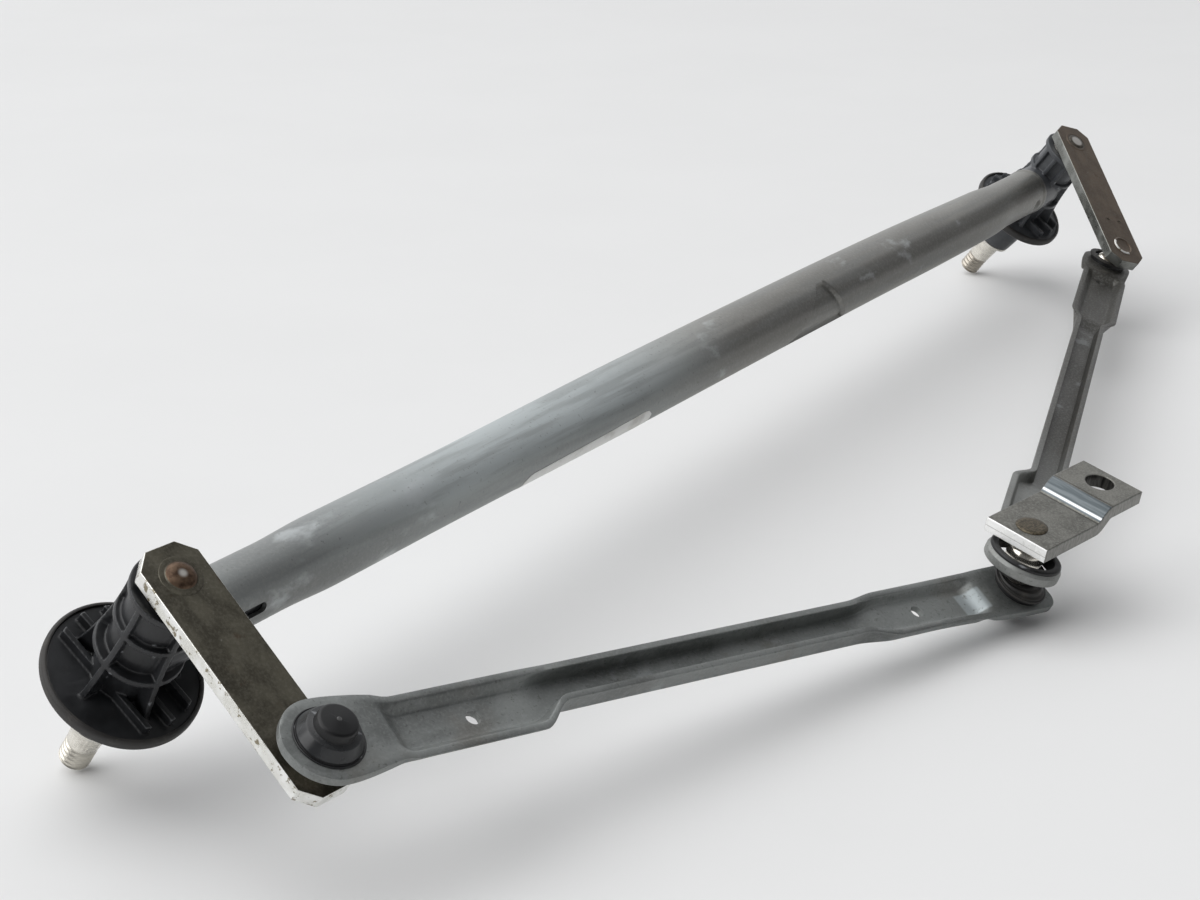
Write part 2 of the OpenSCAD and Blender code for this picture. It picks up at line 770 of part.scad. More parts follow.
module right_rod() {
    pad_t = rod_t + pad_boss;
    centre = right_rod_length + open_travel / 2;
    shifts = [right_tray_shift, right_channel_shift, right_inner_shift];
    color(zinc) right_rod_frame() difference() {
        union() {
            rod_channel(right_rod_length, right_tray_end, shifts);
            pad(pad_d, pad_t);
            translate([centre, 0, 0]) pad(right_inner_pad_d, open_ring_h);
        }
        pad(socket_d, 4 * pad_t);
        translate([centre, 0, 0])
            cylinder(r = open_bore_r + open_liner_t, h = 4 * open_ring_h, center = true);
        rod_holes(right_rod_length, right_hole_offset, 0, right_inner_shift);
    }
}

module right_inner_socket() {
    outer_r = open_bore_r + open_liner_t - seat_clearance;
    color(black) right_rod_frame() translate([right_rod_length + open_travel / 2, 0, 0])
        ring(open_bore_r, outer_r, -open_ring_h / 2, open_ring_h + open_liner_rise);
}

// Outline with each corner rounded to its own radius, in a few steps
bend_steps = 6;
function corner(before, at, after, r) =
    let (
        u = (before - at) / norm(before - at),
        v = (after - at) / norm(after - at),
        half = acos(u * v) / 2,
        bisector = (u + v) / norm(u + v),
        middle = at + bisector * r / sin(half),
        start = atan2((at - middle)[1], (at - middle)[0]),
        side = u[0] * v[1] - u[1] * v[0] > 0 ? -1 : 1
    )
    [for (i = [0 : bend_steps])
        let (a = start + side * (90 - half) * (2 * i / bend_steps - 1))
        middle + r * [cos(a), sin(a)]];
function rounded(points, radii) =
    let (n = len(points))
    [for (i = [0 : n - 1])
        let (before = points[(i + n - 1) % n], after = points[(i + 1) % n])
        each radii[i] == 0 ? [points[i]] : corner(before, points[i], after, radii[i])];

// Crank: a stepped plate, swung about the stud's axis
module crank_arm() {
    far = crank_throw + crank_nose;
    bend_end = crank_bend_start + crank_bend_length;
    bend_angle = atan2(crank_step, crank_bend_length);
    shift = crank_t * tan(bend_angle / 2);
    inner_r = crank_bend_r;
    outer_r = crank_bend_r + crank_t;
    color(zinc) crank_frame() rotate([0, 0, crank_heading]) translate([0, 0, crank_top]) difference() {
        translate([0, crank_w / 2, 0]) rotate([90, 0, 0]) linear_extrude(crank_w) polygon(rounded([
            [-crank_tail, -crank_t], [crank_bend_start + shift, -crank_t],
            [bend_end + shift, crank_step - crank_t], [far, crank_step - crank_t],
            [far, crank_step], [bend_end, crank_step], [crank_bend_start, 0], [-crank_tail, 0]
        ], [0, outer_r, inner_r, 0, 0, outer_r, inner_r, 0]));
        translate([0, 0, -crank_t - lip]) cylinder(d = rivet_d + 2 * seat_clearance, h = crank_t + 2 * lip);
        translate([crank_throw, 0, -crank_t]) cylinder(d = shaft_hole_d, h = 3 * crank_t);
    }
}

module double_ball_stud() {
    plate_bottom = crank_top - crank_t;
    color(bright) crank_frame() union() {
        sphere(d = ball_d);
        translate([0, 0, ball_pitch]) sphere(d = ball_d);
        cylinder(d = ball_neck_d, h = plate_bottom);
        translate([0, 0, plate_bottom]) cylinder(d = rivet_d, h = crank_t);
        translate([0, 0, crank_top])
            cylinder(d1 = rivet_head_d, d2 = rivet_head_d - 2 * rivet_bevel, h = rivet_head_h);
    }
}

// Dished rubber boot that keeps dirt out between the two balls
module stud_boot() {
    inner_r = ball_neck_d / 2 + seat_clearance;
    bottom = ball_pitch / 2 - boot_drop;
    color(rubber) crank_frame() rotate_extrude() polygon([
        [inner_r, bottom], [boot_d / 2, bottom + boot_rise],
        [boot_d / 2, bottom + boot_rise + boot_t], [inner_r, bottom + boot_t]
    ]);
}

module at_left_ball() {
    left_rod_frame() children();
}

module at_right_ball() {
    right_rod_frame() rotate([180, 0, 0]) children();
}

module at_lower_ball() {
    left_rod_frame() translate([left_rod_length, 0, 0]) rotate([180, 0, 0]) children();
}

module left_housing() { left_spindle_frame() housing(1); }
module right_housing() { right_spindle_frame() housing(-1); }
module left_flange_seal() { left_spindle_frame() flange_seal(); }
module right_flange_seal() { right_spindle_frame() flange_seal(); }
module left_upper_bush() { left_spindle_frame() upper_bush(); }
module left_lower_bush() { left_spindle_frame() lower_bush(); }
module right_upper_bush() { right_spindle_frame() upper_bush(); }
module right_lower_bush() { right_spindle_frame() lower_bush(); }
module left_shaft_seal() { left_spindle_frame() shaft_seal(); }
module right_shaft_seal() { right_spindle_frame() shaft_seal(); }
module left_spindle() { left_spindle_frame() spindle(); }
module right_spindle() { right_spindle_frame() spindle(); }
module left_lever() { left_spindle_frame() rotate([0, 0, left_lever_angle]) lever(left_lever_length); }
module right_lever() { right_spindle_frame() rotate([0, 0, right_lever_angle]) lever(right_lever_length); }
module left_ball_stud() { linkage_frame() translate(left_ball) ball_stud(); }
module right_ball_stud() { linkage_frame() translate(right_ball) rotate([180, 0, 0]) ball_stud(); }
module left_thrust_washer() { left_spindle_frame() thrust_washer(); }
module right_thrust_washer() { right_spindle_frame() thrust_washer(); }
module left_retaining_washer() { left_spindle_frame() retaining_washer(); }
module right_retaining_washer() { right_spindle_frame() retaining_washer(); }
module left_circlip() { left_spindle_frame() circlip(); }
module right_circlip() { right_spindle_frame() circlip(); }
module left_outer_socket() { at_left_ball() socket(); }
module left_outer_dust_seal() { at_left_ball() dust_seal(); }
module right_outer_socket() { at_right_ball() socket(); }
module right_outer_dust_seal() { at_right_ball() dust_seal(); }
module left_inner_socket() { at_lower_ball() socket(); }
module left_inner_dust_seal() { at_lower_ball() dust_seal(); }

frame_tube();
left_housing();
right_housing();
left_flange_seal();
right_flange_seal();
left_upper_bush();
left_lower_bush();
right_upper_bush();
right_lower_bush();
left_shaft_seal();
right_shaft_seal();
left_spindle();
left_lever();
left_ball_stud();
left_thrust_washer();
left_retaining_washer();
left_circlip();
right_spindle();
right_lever();
right_ball_stud();
right_thrust_washer();
right_retaining_washer();
right_circlip();
left_rod();
left_outer_socket();
left_outer_dust_seal();
left_inner_socket();
left_inner_dust_seal();
right_rod();
right_outer_socket();
right_outer_dust_seal();
right_inner_socket();
crank_arm();
double_ball_stud();
stud_boot();
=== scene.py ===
"""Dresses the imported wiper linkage: pressed steel, moulded housings, threads, rivets and worn finishes."""
import json
import math
from math import cos, hypot, pi, radians, sin

import bmesh
import bpy
from mathutils import Matrix, Vector


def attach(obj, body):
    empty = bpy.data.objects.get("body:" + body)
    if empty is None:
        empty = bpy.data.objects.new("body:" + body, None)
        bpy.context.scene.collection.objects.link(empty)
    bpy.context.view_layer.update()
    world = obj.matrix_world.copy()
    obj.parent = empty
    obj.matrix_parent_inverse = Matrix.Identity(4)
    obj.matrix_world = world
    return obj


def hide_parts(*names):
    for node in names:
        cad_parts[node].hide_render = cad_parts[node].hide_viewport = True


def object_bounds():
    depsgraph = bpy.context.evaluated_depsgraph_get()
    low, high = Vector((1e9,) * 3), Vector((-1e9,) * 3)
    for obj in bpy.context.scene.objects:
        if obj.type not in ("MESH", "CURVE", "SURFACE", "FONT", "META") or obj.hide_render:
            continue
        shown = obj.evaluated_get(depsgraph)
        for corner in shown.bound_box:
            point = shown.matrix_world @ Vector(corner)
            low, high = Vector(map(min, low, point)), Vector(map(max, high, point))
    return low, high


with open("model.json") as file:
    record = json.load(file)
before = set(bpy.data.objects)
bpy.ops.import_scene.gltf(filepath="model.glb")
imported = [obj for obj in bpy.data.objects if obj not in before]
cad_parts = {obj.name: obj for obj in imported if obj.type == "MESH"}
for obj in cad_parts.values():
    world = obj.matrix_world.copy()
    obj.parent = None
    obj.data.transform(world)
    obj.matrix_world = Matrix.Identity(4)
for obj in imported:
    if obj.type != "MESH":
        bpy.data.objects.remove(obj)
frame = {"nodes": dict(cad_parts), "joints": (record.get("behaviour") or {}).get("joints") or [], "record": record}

CAD_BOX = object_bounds()
MM = 0.001

# Places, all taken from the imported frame
JOINTS = {j["name"]: j for j in frame["joints"]}
MOUNTS = {m["name"]: m for m in frame["record"]["mounts"]}
UP = Vector(JOINTS["left_lever_swing"]["axis"]).normalized()
LEFT_FOOT = Vector(MOUNTS["left_spindle_thread"]["pos_m"])
RIGHT_FOOT = Vector(MOUNTS["right_spindle_thread"]["pos_m"])
TUBE_LINE = (RIGHT_FOOT - LEFT_FOOT).normalized()
LEFT_BALL = Vector(JOINTS["left_rod_pivot"]["pos_m"])
RIGHT_BALL = Vector(JOINTS["right_rod_pivot"]["pos_m"])
LOWER_BALL = Vector(JOINTS["crank_turn"]["pos_m"])
STUD_AXIS = Vector(JOINTS["crank_turn"]["axis"]).normalized()
SHAFT_HOLE = Vector(MOUNTS["motor_shaft_hole"]["pos_m"])

# Sizes in millimetres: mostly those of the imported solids, but pads, open ring and seal rings are smaller
SPINDLE_LENGTH = 95.6
THREAD_R, THREAD_LENGTH, THREAD_PITCH, THREAD_DEPTH = 5.0, 10.0, 2.0, 0.55
TAPER_END, SHAFT_R = 20.6, 6.0
RETAINER_BOTTOM, CIRCLIP_T, GROOVE_DEPTH = 22.5, 1.0, 0.6
SHANK_R, PEEN_R, PEEN_H = 4.3, 5.2, 1.6
LEVER_T, LEVER_W, LEVER_OVERHANG, LEVER_CHAMFER = 5.0, 20.0, 10.5, 5.0
BALL_R, BALL_NECK_R, BALL_HEIGHT, BALL_PITCH, BALL_BELOW_CRANK = 6.5, 3.8, 9.0, 13.6, 12.0
RIVET_R, RIVET_H = 5.5, 0.6
SOCKET_R, CAP_R, CAP_H, DOME_R, CAP_RIM_H = 8.47, 9.6, 9.4, 5.8, 0.8
BALL_SEAT_R, MOUTH_ANGLE, SEAL_T, SEAL_ROOM = 6.55, radians(62), 1.0, 1.2
BOOT_R, BOOT_T, BOOT_RISE, BOOT_DROP = 8.2, 0.6, 2.0, 0.5
ROD_T, PAD_R, RIGHT_PAD_R, PAD_BOSS, END_REACH, END_R = 2.2, 13.5, 11.7, 0.6, 12.4, 5.0
TRAY_HALF, TRAY_WEB, TRAY_DEPTH, INNER_HALF = 8.6, 5.2, 3.0, 7.2
MID_HALF, MID_WEB, MID_DEPTH = 4.6, 3.6, 5.2
WALL_T, TRAY_RAMP, INNER_TRAY, PRESS_START, PRESS_RAMP = 2.0, 14.0, 64.0, 18.0, 6.0
HOLE_R, HOLE_OFFSET, RIGHT_HOLE_OFFSET = 2.3, 48.0, 26.0
LEFT_ROD_ROLL, RIGHT_ROD_ROLL = -8.0, 14.0
LEFT_TRAY_END, RIGHT_TRAY_END = 66.0, 86.0
LEFT_SHIFTS, RIGHT_SHIFTS = (-1.4, 2.4, 1.2), (0.8, 0.4, -3.0)
OPEN_SHIFT, OPEN_BORE_R, OPEN_LINER_T, OPEN_RING_R, OPEN_RING_H = 3.4, 10.2, 1.8, 13.4, 4.0
LINER_RISE, LINER_LIP_R = 1.3, 12.7
CRANK_W, CRANK_T, CRANK_STEP, BEND_START, BEND_LENGTH = 25.0, 5.0, 4.6, 21.9, 5.0
CRANK_TAIL, CRANK_NOSE, CRANK_THROW, SHAFT_HOLE_R, BEND_R = 8.6, 8.0, 38.5, 5.0, 1.2
TUBE_STATION, TUBE_GAP, TUBE_END_R, TUBE_R, TUBE_WALL = 64.0, 18.0, 10.8, 11.6, 1.5
OVAL_HALF_W, OVAL_HALF_H, OVAL_START, OVAL_END, OVAL_RAMP = 13.0, 10.0, 190.0, 560.0, 150.0
SWAGE_LENGTH, SWAGE_RAMP, BOW_RISE, BOW_UP, BOW_DOWN = 34.0, 26.0, 3.0, 0.55, 0.3
SLOT_W, SLOT_LENGTH, SLOT_ANGLE = 3.4, 22.0, radians(153)
CRIMP_OFFSET, CRIMP_ANGLE, CRIMP_R, CRIMP_DEPTH = 9.0, radians(166), 3.8, 1.5
FLANGE_R, FLANGE_START, FLANGE_T, SEAL_RING_W, SEAL_RING_H = 22.5, 44.4, 2.8, 3.3, 4.2
CRANK_TOP = BALL_PITCH + BALL_BELOW_CRANK
FIT = 0.03  # clearance that keeps mating pieces from touching
OVERRUN = 1.0  # how far a cutter stands out of the piece that it cuts


def upright(origin, up, towards):
    """Frame at origin with z along up and x as near towards as it goes."""
    z = up.normalized()
    x = (towards - towards.dot(z) * z).normalized()
    return Matrix.Translation(origin) @ Matrix((x, z.cross(x), z)).transposed().to_4x4()


def along(origin, line, up, roll=0.0):
    """Frame at origin with x along line and z as near up as it goes, rolled about x."""
    x = line.normalized()
    z = (up - up.dot(x) * x).normalized()
    turn = Matrix((x, z.cross(x), z)).transposed().to_4x4()
    return Matrix.Translation(origin) @ turn @ Matrix.Rotation(radians(roll), 4, "X")


UPPER_BALL = LOWER_BALL + STUD_AXIS * BALL_PITCH * MM
LEFT_ROD_LENGTH = (LOWER_BALL - LEFT_BALL).length / MM
RIGHT_ROD_LENGTH = (UPPER_BALL - RIGHT_BALL).length / MM
TUBE_LENGTH = (RIGHT_FOOT - LEFT_FOOT).length / MM - 2 * TUBE_GAP
PLACES = {
    "tube": along(LEFT_FOOT + UP * TUBE_STATION * MM, TUBE_LINE, UP),
    "left_spindle": upright(LEFT_FOOT, UP, TUBE_LINE),
    "right_spindle": upright(RIGHT_FOOT, UP, TUBE_LINE),
    "left_lever": upright(LEFT_FOOT, UP, LEFT_BALL - LEFT_FOOT),
    "right_lever": upright(RIGHT_FOOT, UP, RIGHT_BALL - RIGHT_FOOT),
    "left_ball": upright(LEFT_BALL, UP, TUBE_LINE),
    "right_ball": upright(RIGHT_BALL, -UP, TUBE_LINE),
    "left_rod": along(LEFT_BALL, LOWER_BALL - LEFT_BALL, UP, LEFT_ROD_ROLL),
    "right_rod": along(RIGHT_BALL, UPPER_BALL - RIGHT_BALL, UP, RIGHT_ROD_ROLL),
    "crank": upright(LOWER_BALL, STUD_AXIS, SHAFT_HOLE - LOWER_BALL),
}
OVER = Matrix.Rotation(pi, 4, "X")
PLACES["left_outer"] = PLACES["left_rod"]
PLACES["right_outer"] = PLACES["right_rod"] @ OVER
PLACES["left_inner"] = PLACES["left_rod"] @ Matrix.Translation((LEFT_ROD_LENGTH * MM, 0, 0)) @ OVER
PLACES["open_ring"] = PLACES["right_rod"] @ Matrix.Translation(((RIGHT_ROD_LENGTH + OPEN_SHIFT) * MM, 0, 0))


# Materials

NOISE_ROUGHNESS = 0.6


class Paint:
    """One procedural material: layers of colour, roughness and bump over a Principled shader."""

    def __init__(self, name, **values):
        self.material = bpy.data.materials.new(name)
        self.material.use_nodes = True
        self.tree = self.material.node_tree
        self.shader = self.tree.nodes["Principled BSDF"]
        self.fill(self.shader, values)
        self.coords = self.node("TexCoord").outputs["Object"]

    def put(self, socket, value):
        """Links a socket to another node's output, or sets it to a plain value."""
        if hasattr(value, "is_output"):
            self.tree.links.new(value, socket)
        else:
            socket.default_value = value

    def fill(self, node, values):
        """Puts values in a node's sockets, whose names have spaces where the keywords have underscores."""
        for socket, value in values.items():
            self.put(node.inputs[socket.replace("_", " ")], value)

    def node(self, kind, **values):
        node = self.tree.nodes.new("ShaderNode" + kind)
        self.fill(node, values)
        return node

    def mapped(self, value, reach=(0.0, 1.0), levels=(0.0, 1.0), kind="LINEAR"):
        """A value carried from its reach to two levels, and held at them outside it."""
        node = self.node("MapRange", Value=value, From_Min=reach[0], From_Max=reach[1],
                         To_Min=levels[0], To_Max=levels[1])
        node.interpolation_type = kind
        return node.outputs["Result"]

    def noise(self, size, low, high, detail=4.0, stretch=(1, 1, 1), warp=0.0):
        """A 0 to 1 mask of soft blots about size millimetres across."""
        scale = [1 / (size * MM * s) for s in stretch]
        at = self.node("Mapping", Vector=self.coords, Scale=scale).outputs["Vector"]
        blots = self.node("TexNoise", Vector=at, Scale=1.0, Detail=detail,
                          Roughness=NOISE_ROUGHNESS, Distortion=warp)
        return self.mapped(blots.outputs["Fac"], (low, high), kind="SMOOTHSTEP")

    def edges(self, low, high):
        """A mask of the outer edges, where a pale painted highlight is laid."""
        return self.mapped(self.node("NewGeometry").outputs["Pointiness"], (low, high))

    def ramp(self, value, low, high):
        """A 0 to 1 ramp between two lengths in millimetres."""
        return self.mapped(value, (low * MM, high * MM), kind="SMOOTHSTEP")

    def across(self, axis, low, high):
        """A 0 to 1 ramp along one of the piece's own axes, between two places in millimetres."""
        return self.ramp(self.node("SeparateXYZ", Vector=self.coords).outputs[axis], low, high)

    def from_axis(self, low, high):
        """A 0 to 1 ramp by distance from the piece's z axis, in millimetres."""
        flat = self.node("VectorMath")
        flat.operation = "MULTIPLY"
        self.put(flat.inputs[0], self.coords)
        self.put(flat.inputs[1], (1, 1, 0))
        length = self.node("VectorMath")
        length.operation = "LENGTH"
        self.put(length.inputs[0], flat.outputs["Vector"])
        return self.ramp(length.outputs["Value"], low, high)

    def band(self, axis, low, high, soft):
        """1 between two places along an axis, 0 outside them."""
        rise = self.across(axis, low - soft, low + soft)
        return self.math("SUBTRACT", rise, self.across(axis, high - soft, high + soft))

    def math(self, kind, a, b):
        node = self.node("Math")
        node.operation = kind
        self.put(node.inputs[0], a)
        self.put(node.inputs[1], b)
        return node.outputs[0]

    def between(self, mask, low, high):
        return self.mapped(mask, levels=(low, high))

    def blend(self, mask, a, b):
        """Colour a where the mask is 0 and colour b where it is 1."""
        mix_node = self.node("Mix")
        mix_node.data_type = "RGBA"
        self.put(mix_node.inputs["Factor"], mask)
        self.put(mix_node.inputs[6], (*a, 1) if isinstance(a, tuple) else a)
        self.put(mix_node.inputs[7], (*b, 1) if isinstance(b, tuple) else b)
        return mix_node.outputs[2]

    def layer(self, under, mask, strength, colour):
        """Lays a colour over another where the mask is, up to a strength."""
        return self.blend(self.between(mask, 0.0, strength), under, colour)

    def finish(self, colour, roughness, height=None, bump=0.2, depth=0.04):
        """Ends the material, with a bump of so many millimetres where it is given a height."""
        self.fill(self.shader, {"Base Color": colour, "Roughness": roughness})
        if height is not None:
            node = self.node("Bump", Strength=bump, Distance=depth * MM, Height=height)
            self.put(self.shader.inputs["Normal"], node.outputs["Normal"])
        return self.material


def tube_zinc():
    """Passivated tube: blue grey in one half and warm grey in the other, drawn and scuffed; a pale band of painted
    light along the blue half, a band of painted shade along the warm half, the warm half partly darkened as
    painted shade towards the right end, and painted shade below.
    """
    p = Paint("tube_zinc", Metallic=0.68)
    cloud = p.noise(40, 0.34, 0.66, stretch=(2.4, 1, 1), warp=0.4)
    cool = p.blend(cloud, (0.37, 0.4, 0.402), (0.48, 0.518, 0.522))
    warm = p.blend(cloud, (0.22, 0.215, 0.198), (0.32, 0.314, 0.294))
    # Pale band along the blue-grey half: painted light, a lighter middle where the tube catches more light.
    cool = p.layer(cool, p.band("Y", -6, 2, 2), 0.75, (0.62, 0.67, 0.677))
    # Dark band along the warm half: painted shade across its middle.
    warm = p.layer(warm, p.band("Y", -8, -1, 1.5), 0.6, (0.095, 0.092, 0.083))
    # The warm grey half is also darker than the blue one: partly painted shade, for the light falling off towards
    # the tube's right end.
    colour = p.blend(p.across("X", 220, 335), cool, warm)
    colour = p.blend(p.between(p.across("X", 40, 150), 0.75, 0.0), colour, (0.2, 0.203, 0.196))
    # Darker towards the lower side: painted shade, dimming the floor's reflection there.
    colour = p.blend(p.between(p.across("Y", -10.5, -6.5), 0.5, 0.0), colour, (0.15, 0.148, 0.138))
    drawn = p.noise(4, 0.45, 0.62, stretch=(16, 1, 1))
    colour = p.layer(colour, drawn, 0.35, (0.22, 0.228, 0.224))
    bloom = p.noise(20, 0.6, 0.72, detail=8, stretch=(1.8, 1, 1))
    colour = p.layer(colour, bloom, 0.6, (0.6, 0.63, 0.64))
    grain = p.noise(1.2, 0.45, 0.66, detail=4)
    colour = p.layer(colour, grain, 0.12, (0.5, 0.5, 0.48))
    pits = p.noise(1.5, 0.62, 0.72, detail=3)
    colour = p.layer(colour, pits, 0.4, (0.13, 0.13, 0.12))
    return p.finish(colour, p.between(cloud, 0.38, 0.48), p.noise(0.9, 0.3, 0.7))


def rod_zinc(name, dark, light, patch=None, brown_end=None):
    """Pressed rods: dull dark zinc with pale rubbed patches, water stains, a browned end and a pale painted
    highlight along the edges.
    """
    p = Paint(name, Metallic=0.6, Specular_IOR_Level=0.2)
    cloud = p.noise(18, 0.36, 0.64, stretch=(2.5, 1, 1), warp=0.5)
    colour = p.blend(cloud, dark, light)
    brown = p.noise(30, 0.54, 0.72, detail=3)
    colour = p.layer(colour, brown, 0.5, (0.17, 0.158, 0.138))
    if brown_end:
        colour = p.blend(p.between(p.across("X", *brown_end), 0.88, 0.0), colour, (0.05, 0.046, 0.039))
    pale = p.noise(13, 0.63, 0.7, detail=7, stretch=(1.6, 1, 1))
    colour = p.layer(colour, pale, 0.3, (0.42, 0.45, 0.455))
    grain = p.noise(1.0, 0.45, 0.66, detail=4)
    colour = p.layer(colour, grain, 0.22, (0.36, 0.37, 0.36))
    pits = p.noise(1.2, 0.6, 0.7, detail=3)
    colour = p.layer(colour, pits, 0.5, (0.09, 0.09, 0.085))
    if patch:
        x0, x1, y0, y1 = patch
        area = p.math("MULTIPLY", p.band("X", x0, x1, 0.6), p.band("Y", y0, y1, 0.5))
        rubbed = p.math("MULTIPLY", area, p.noise(2.2, 0.3, 0.45, detail=5))
        colour = p.blend(rubbed, colour, (0.43, 0.47, 0.48))
    # Pale along the edges: painted highlight.
    colour = p.layer(colour, p.edges(0.53, 0.6), 0.2, (0.5, 0.51, 0.49))
    return p.finish(colour, p.between(cloud, 0.38, 0.5), p.noise(0.8, 0.3, 0.7))


def lever_oxide(name="lever_oxide", dark=(0.058, 0.052, 0.038), light=(0.118, 0.109, 0.082)):
    """Lever faces: olive brown oxide over rolled steel, rust blots, rubbed bare here and there."""
    p = Paint(name, Metallic=0.72)
    cloud = p.noise(12, 0.35, 0.66, stretch=(1.3, 1, 1), warp=0.3, detail=6)
    colour = p.blend(cloud, dark, light)
    rust = p.noise(8, 0.6, 0.72, detail=6)
    colour = p.layer(colour, rust, 0.55, (0.07, 0.04, 0.022))
    bare = p.noise(3.2, 0.68, 0.74, detail=6)
    colour = p.layer(colour, bare, 0.5, (0.4, 0.39, 0.35))
    fine = p.noise(0.8, 0.4, 0.68, detail=4)
    colour = p.layer(colour, fine, 0.3, (0.19, 0.18, 0.145))
    return p.finish(colour, p.between(cloud, 0.36, 0.48), fine, 0.16, 0.04)


def blotted(name, dark, light, cloud, gloss, relief, dirt=None, **values):
    """Two colours in soft blots with a fine relief, and dirt over them where it is given."""
    p = Paint(name, **values)
    blots = p.noise(*cloud)
    colour = p.blend(blots, dark, light)
    if dirt:
        strength, tint, size, low, high = dirt
        colour = p.layer(colour, p.noise(size, low, high, detail=6), strength, tint)
    size, bump, depth = relief
    return p.finish(colour, p.between(blots, *gloss), p.noise(size, 0.3, 0.7), bump, depth)


def sheared_edge(name, dirt, dark, light):
    """Sheared edges: zinc with yellow brown dirt caught along them."""
    return blotted(name, dark, light, (6, 0.35, 0.65), (0.26, 0.4), (0.5, 0.2, 0.04),
                   (0.9, (0.2, 0.165, 0.095), 2.6, dirt, dirt + 0.06), Metallic=0.8)


def highlit_crank_front():
    """The crank's front edge: near white, a painted highlight for the light that it catches, with the line where
    the shear broke through.
    """
    p = Paint("highlit_crank_front", Metallic=0.12)
    cloud = p.noise(5, 0.35, 0.65)
    # Near-white colour: painted highlight.
    colour = p.blend(cloud, (0.93, 0.93, 0.91), (0.99, 0.99, 0.98))
    break_z = CRANK_TOP - CRANK_T * 0.55
    colour = p.layer(colour, p.band("Z", break_z - 0.15, break_z + 0.15, 0.08), 0.7, (0.42, 0.42, 0.4))
    return p.finish(colour, p.between(cloud, 0.25, 0.36), p.noise(0.5, 0.3, 0.7))


def crank_face():
    """Crank faces: satin zinc with a grey brown cast, darker along its creases."""
    p = Paint("crank_face", Metallic=0.75)
    cloud = p.noise(9, 0.35, 0.65, warp=0.3, detail=6)
    colour = p.blend(cloud, (0.12, 0.118, 0.104), (0.2, 0.197, 0.177))
    stain = p.noise(4, 0.6, 0.7, detail=6)
    colour = p.layer(colour, stain, 0.5, (0.1, 0.094, 0.08))
    grain = p.noise(0.7, 0.42, 0.66, detail=4)
    colour = p.layer(colour, grain, 0.42, (0.34, 0.335, 0.31))
    for x in (BEND_START - 0.6, BEND_START + BEND_LENGTH + 1.6):
        colour = p.layer(colour, p.band("X", x - 0.3, x + 0.3, 0.25), 0.75, (0.07, 0.068, 0.06))
    return p.finish(colour, p.between(cloud, 0.36, 0.46), p.noise(0.6, 0.3, 0.7))


def crank_bend():
    """The crank's bend: stretched zinc, bluish, polished in lines across and brightest at its foot."""
    p = Paint("crank_bend", Metallic=0.85)
    lines = p.noise(1.2, 0.35, 0.65, stretch=(1, 18, 1))
    colour = p.blend(lines, (0.075, 0.088, 0.095), (0.15, 0.168, 0.178))
    foot = p.band("X", BEND_START + 0.9, BEND_START + 1.5, 0.25)
    colour = p.layer(colour, foot, 0.9, (0.85, 0.88, 0.9))
    return p.finish(colour, p.between(lines, 0.28, 0.38), lines, 0.12, 0.05)


def grained(name, metallic, dark, light, gloss, bump, depth, size, **shape):
    """One noise for colour, gloss and relief alike: torn edges, a scored bore darkened as painted shade, sintered
    bronze.
    """
    p = Paint(name, Metallic=metallic)
    grain = p.noise(size, 0.35, 0.65, **shape)
    return p.finish(p.blend(grain, dark, light), p.between(grain, *gloss), grain, bump, depth)


def nickel(name="nickel", warm=(0.8, 0.77, 0.7), gloss=(0.2, 0.32), marks=0.03):
    """Plated turned steel, bright and slightly warm, with faint turning marks."""
    p = Paint(name, Metallic=0.9)
    rings = p.noise(0.8, 0.3, 0.7, stretch=(12, 12, 1))
    dull = tuple(0.8 * c for c in warm)
    colour = p.blend(p.noise(5, 0.4, 0.68), warm, dull)
    return p.finish(colour, p.between(rings, *gloss), rings, marks, 0.02)


def rivet_brown(name, dark, light, blot=2.2, pale=None):
    """Peened rivet heads with a brown oxide film, rubbed pale in the middle where pale gives its radii."""
    p = Paint(name, Metallic=0.7)
    cloud = p.noise(blot, 0.35, 0.65, detail=5)
    colour = p.blend(cloud, dark, light)
    if pale:
        colour = p.blend(p.from_axis(*pale), (0.5, 0.48, 0.45), colour)
    return p.finish(colour, p.between(cloud, 0.3, 0.42), p.noise(0.6, 0.3, 0.7), 0.2, 0.05)


def plastic(name, dark, light, roughness=(0.32, 0.46)):
    """Glass-filled moulding: near black, with a pale painted highlight along its edges and dust in the grain."""
    p = Paint(name, Specular_IOR_Level=0.4)
    cloud = p.noise(12, 0.35, 0.65)
    colour = p.blend(cloud, dark, light)
    # Pale along the edges: painted highlight.
    colour = p.layer(colour, p.edges(0.53, 0.62), 0.8, (0.22, 0.228, 0.24))
    dust = p.noise(7, 0.6, 0.78, detail=6)
    colour = p.layer(colour, dust, 0.2, (0.1, 0.096, 0.088))
    return p.finish(colour, p.between(cloud, *roughness), p.noise(0.5, 0.3, 0.7), 0.12, 0.03)


TUBE_ZINC, LEVER_OXIDE = tube_zinc(), lever_oxide()
BROWN_OXIDE = lever_oxide("brown_oxide", (0.098, 0.072, 0.053), (0.165, 0.126, 0.095))
LEFT_ROD_ZINC = rod_zinc("left_rod_zinc", (0.155, 0.163, 0.159), (0.255, 0.268, 0.262),
                         (LEFT_ROD_LENGTH - 27.5, LEFT_ROD_LENGTH - 17.5, -5.0, 3.8))
RIGHT_ROD_ZINC = rod_zinc("right_rod_zinc", (0.17, 0.175, 0.168), (0.29, 0.297, 0.286), brown_end=(225, 345))
HIGHLIT_CRANK_FRONT = highlit_crank_front()
BRIGHT_EDGE = sheared_edge("bright_edge", 0.56, (0.74, 0.735, 0.69), (0.9, 0.9, 0.88))
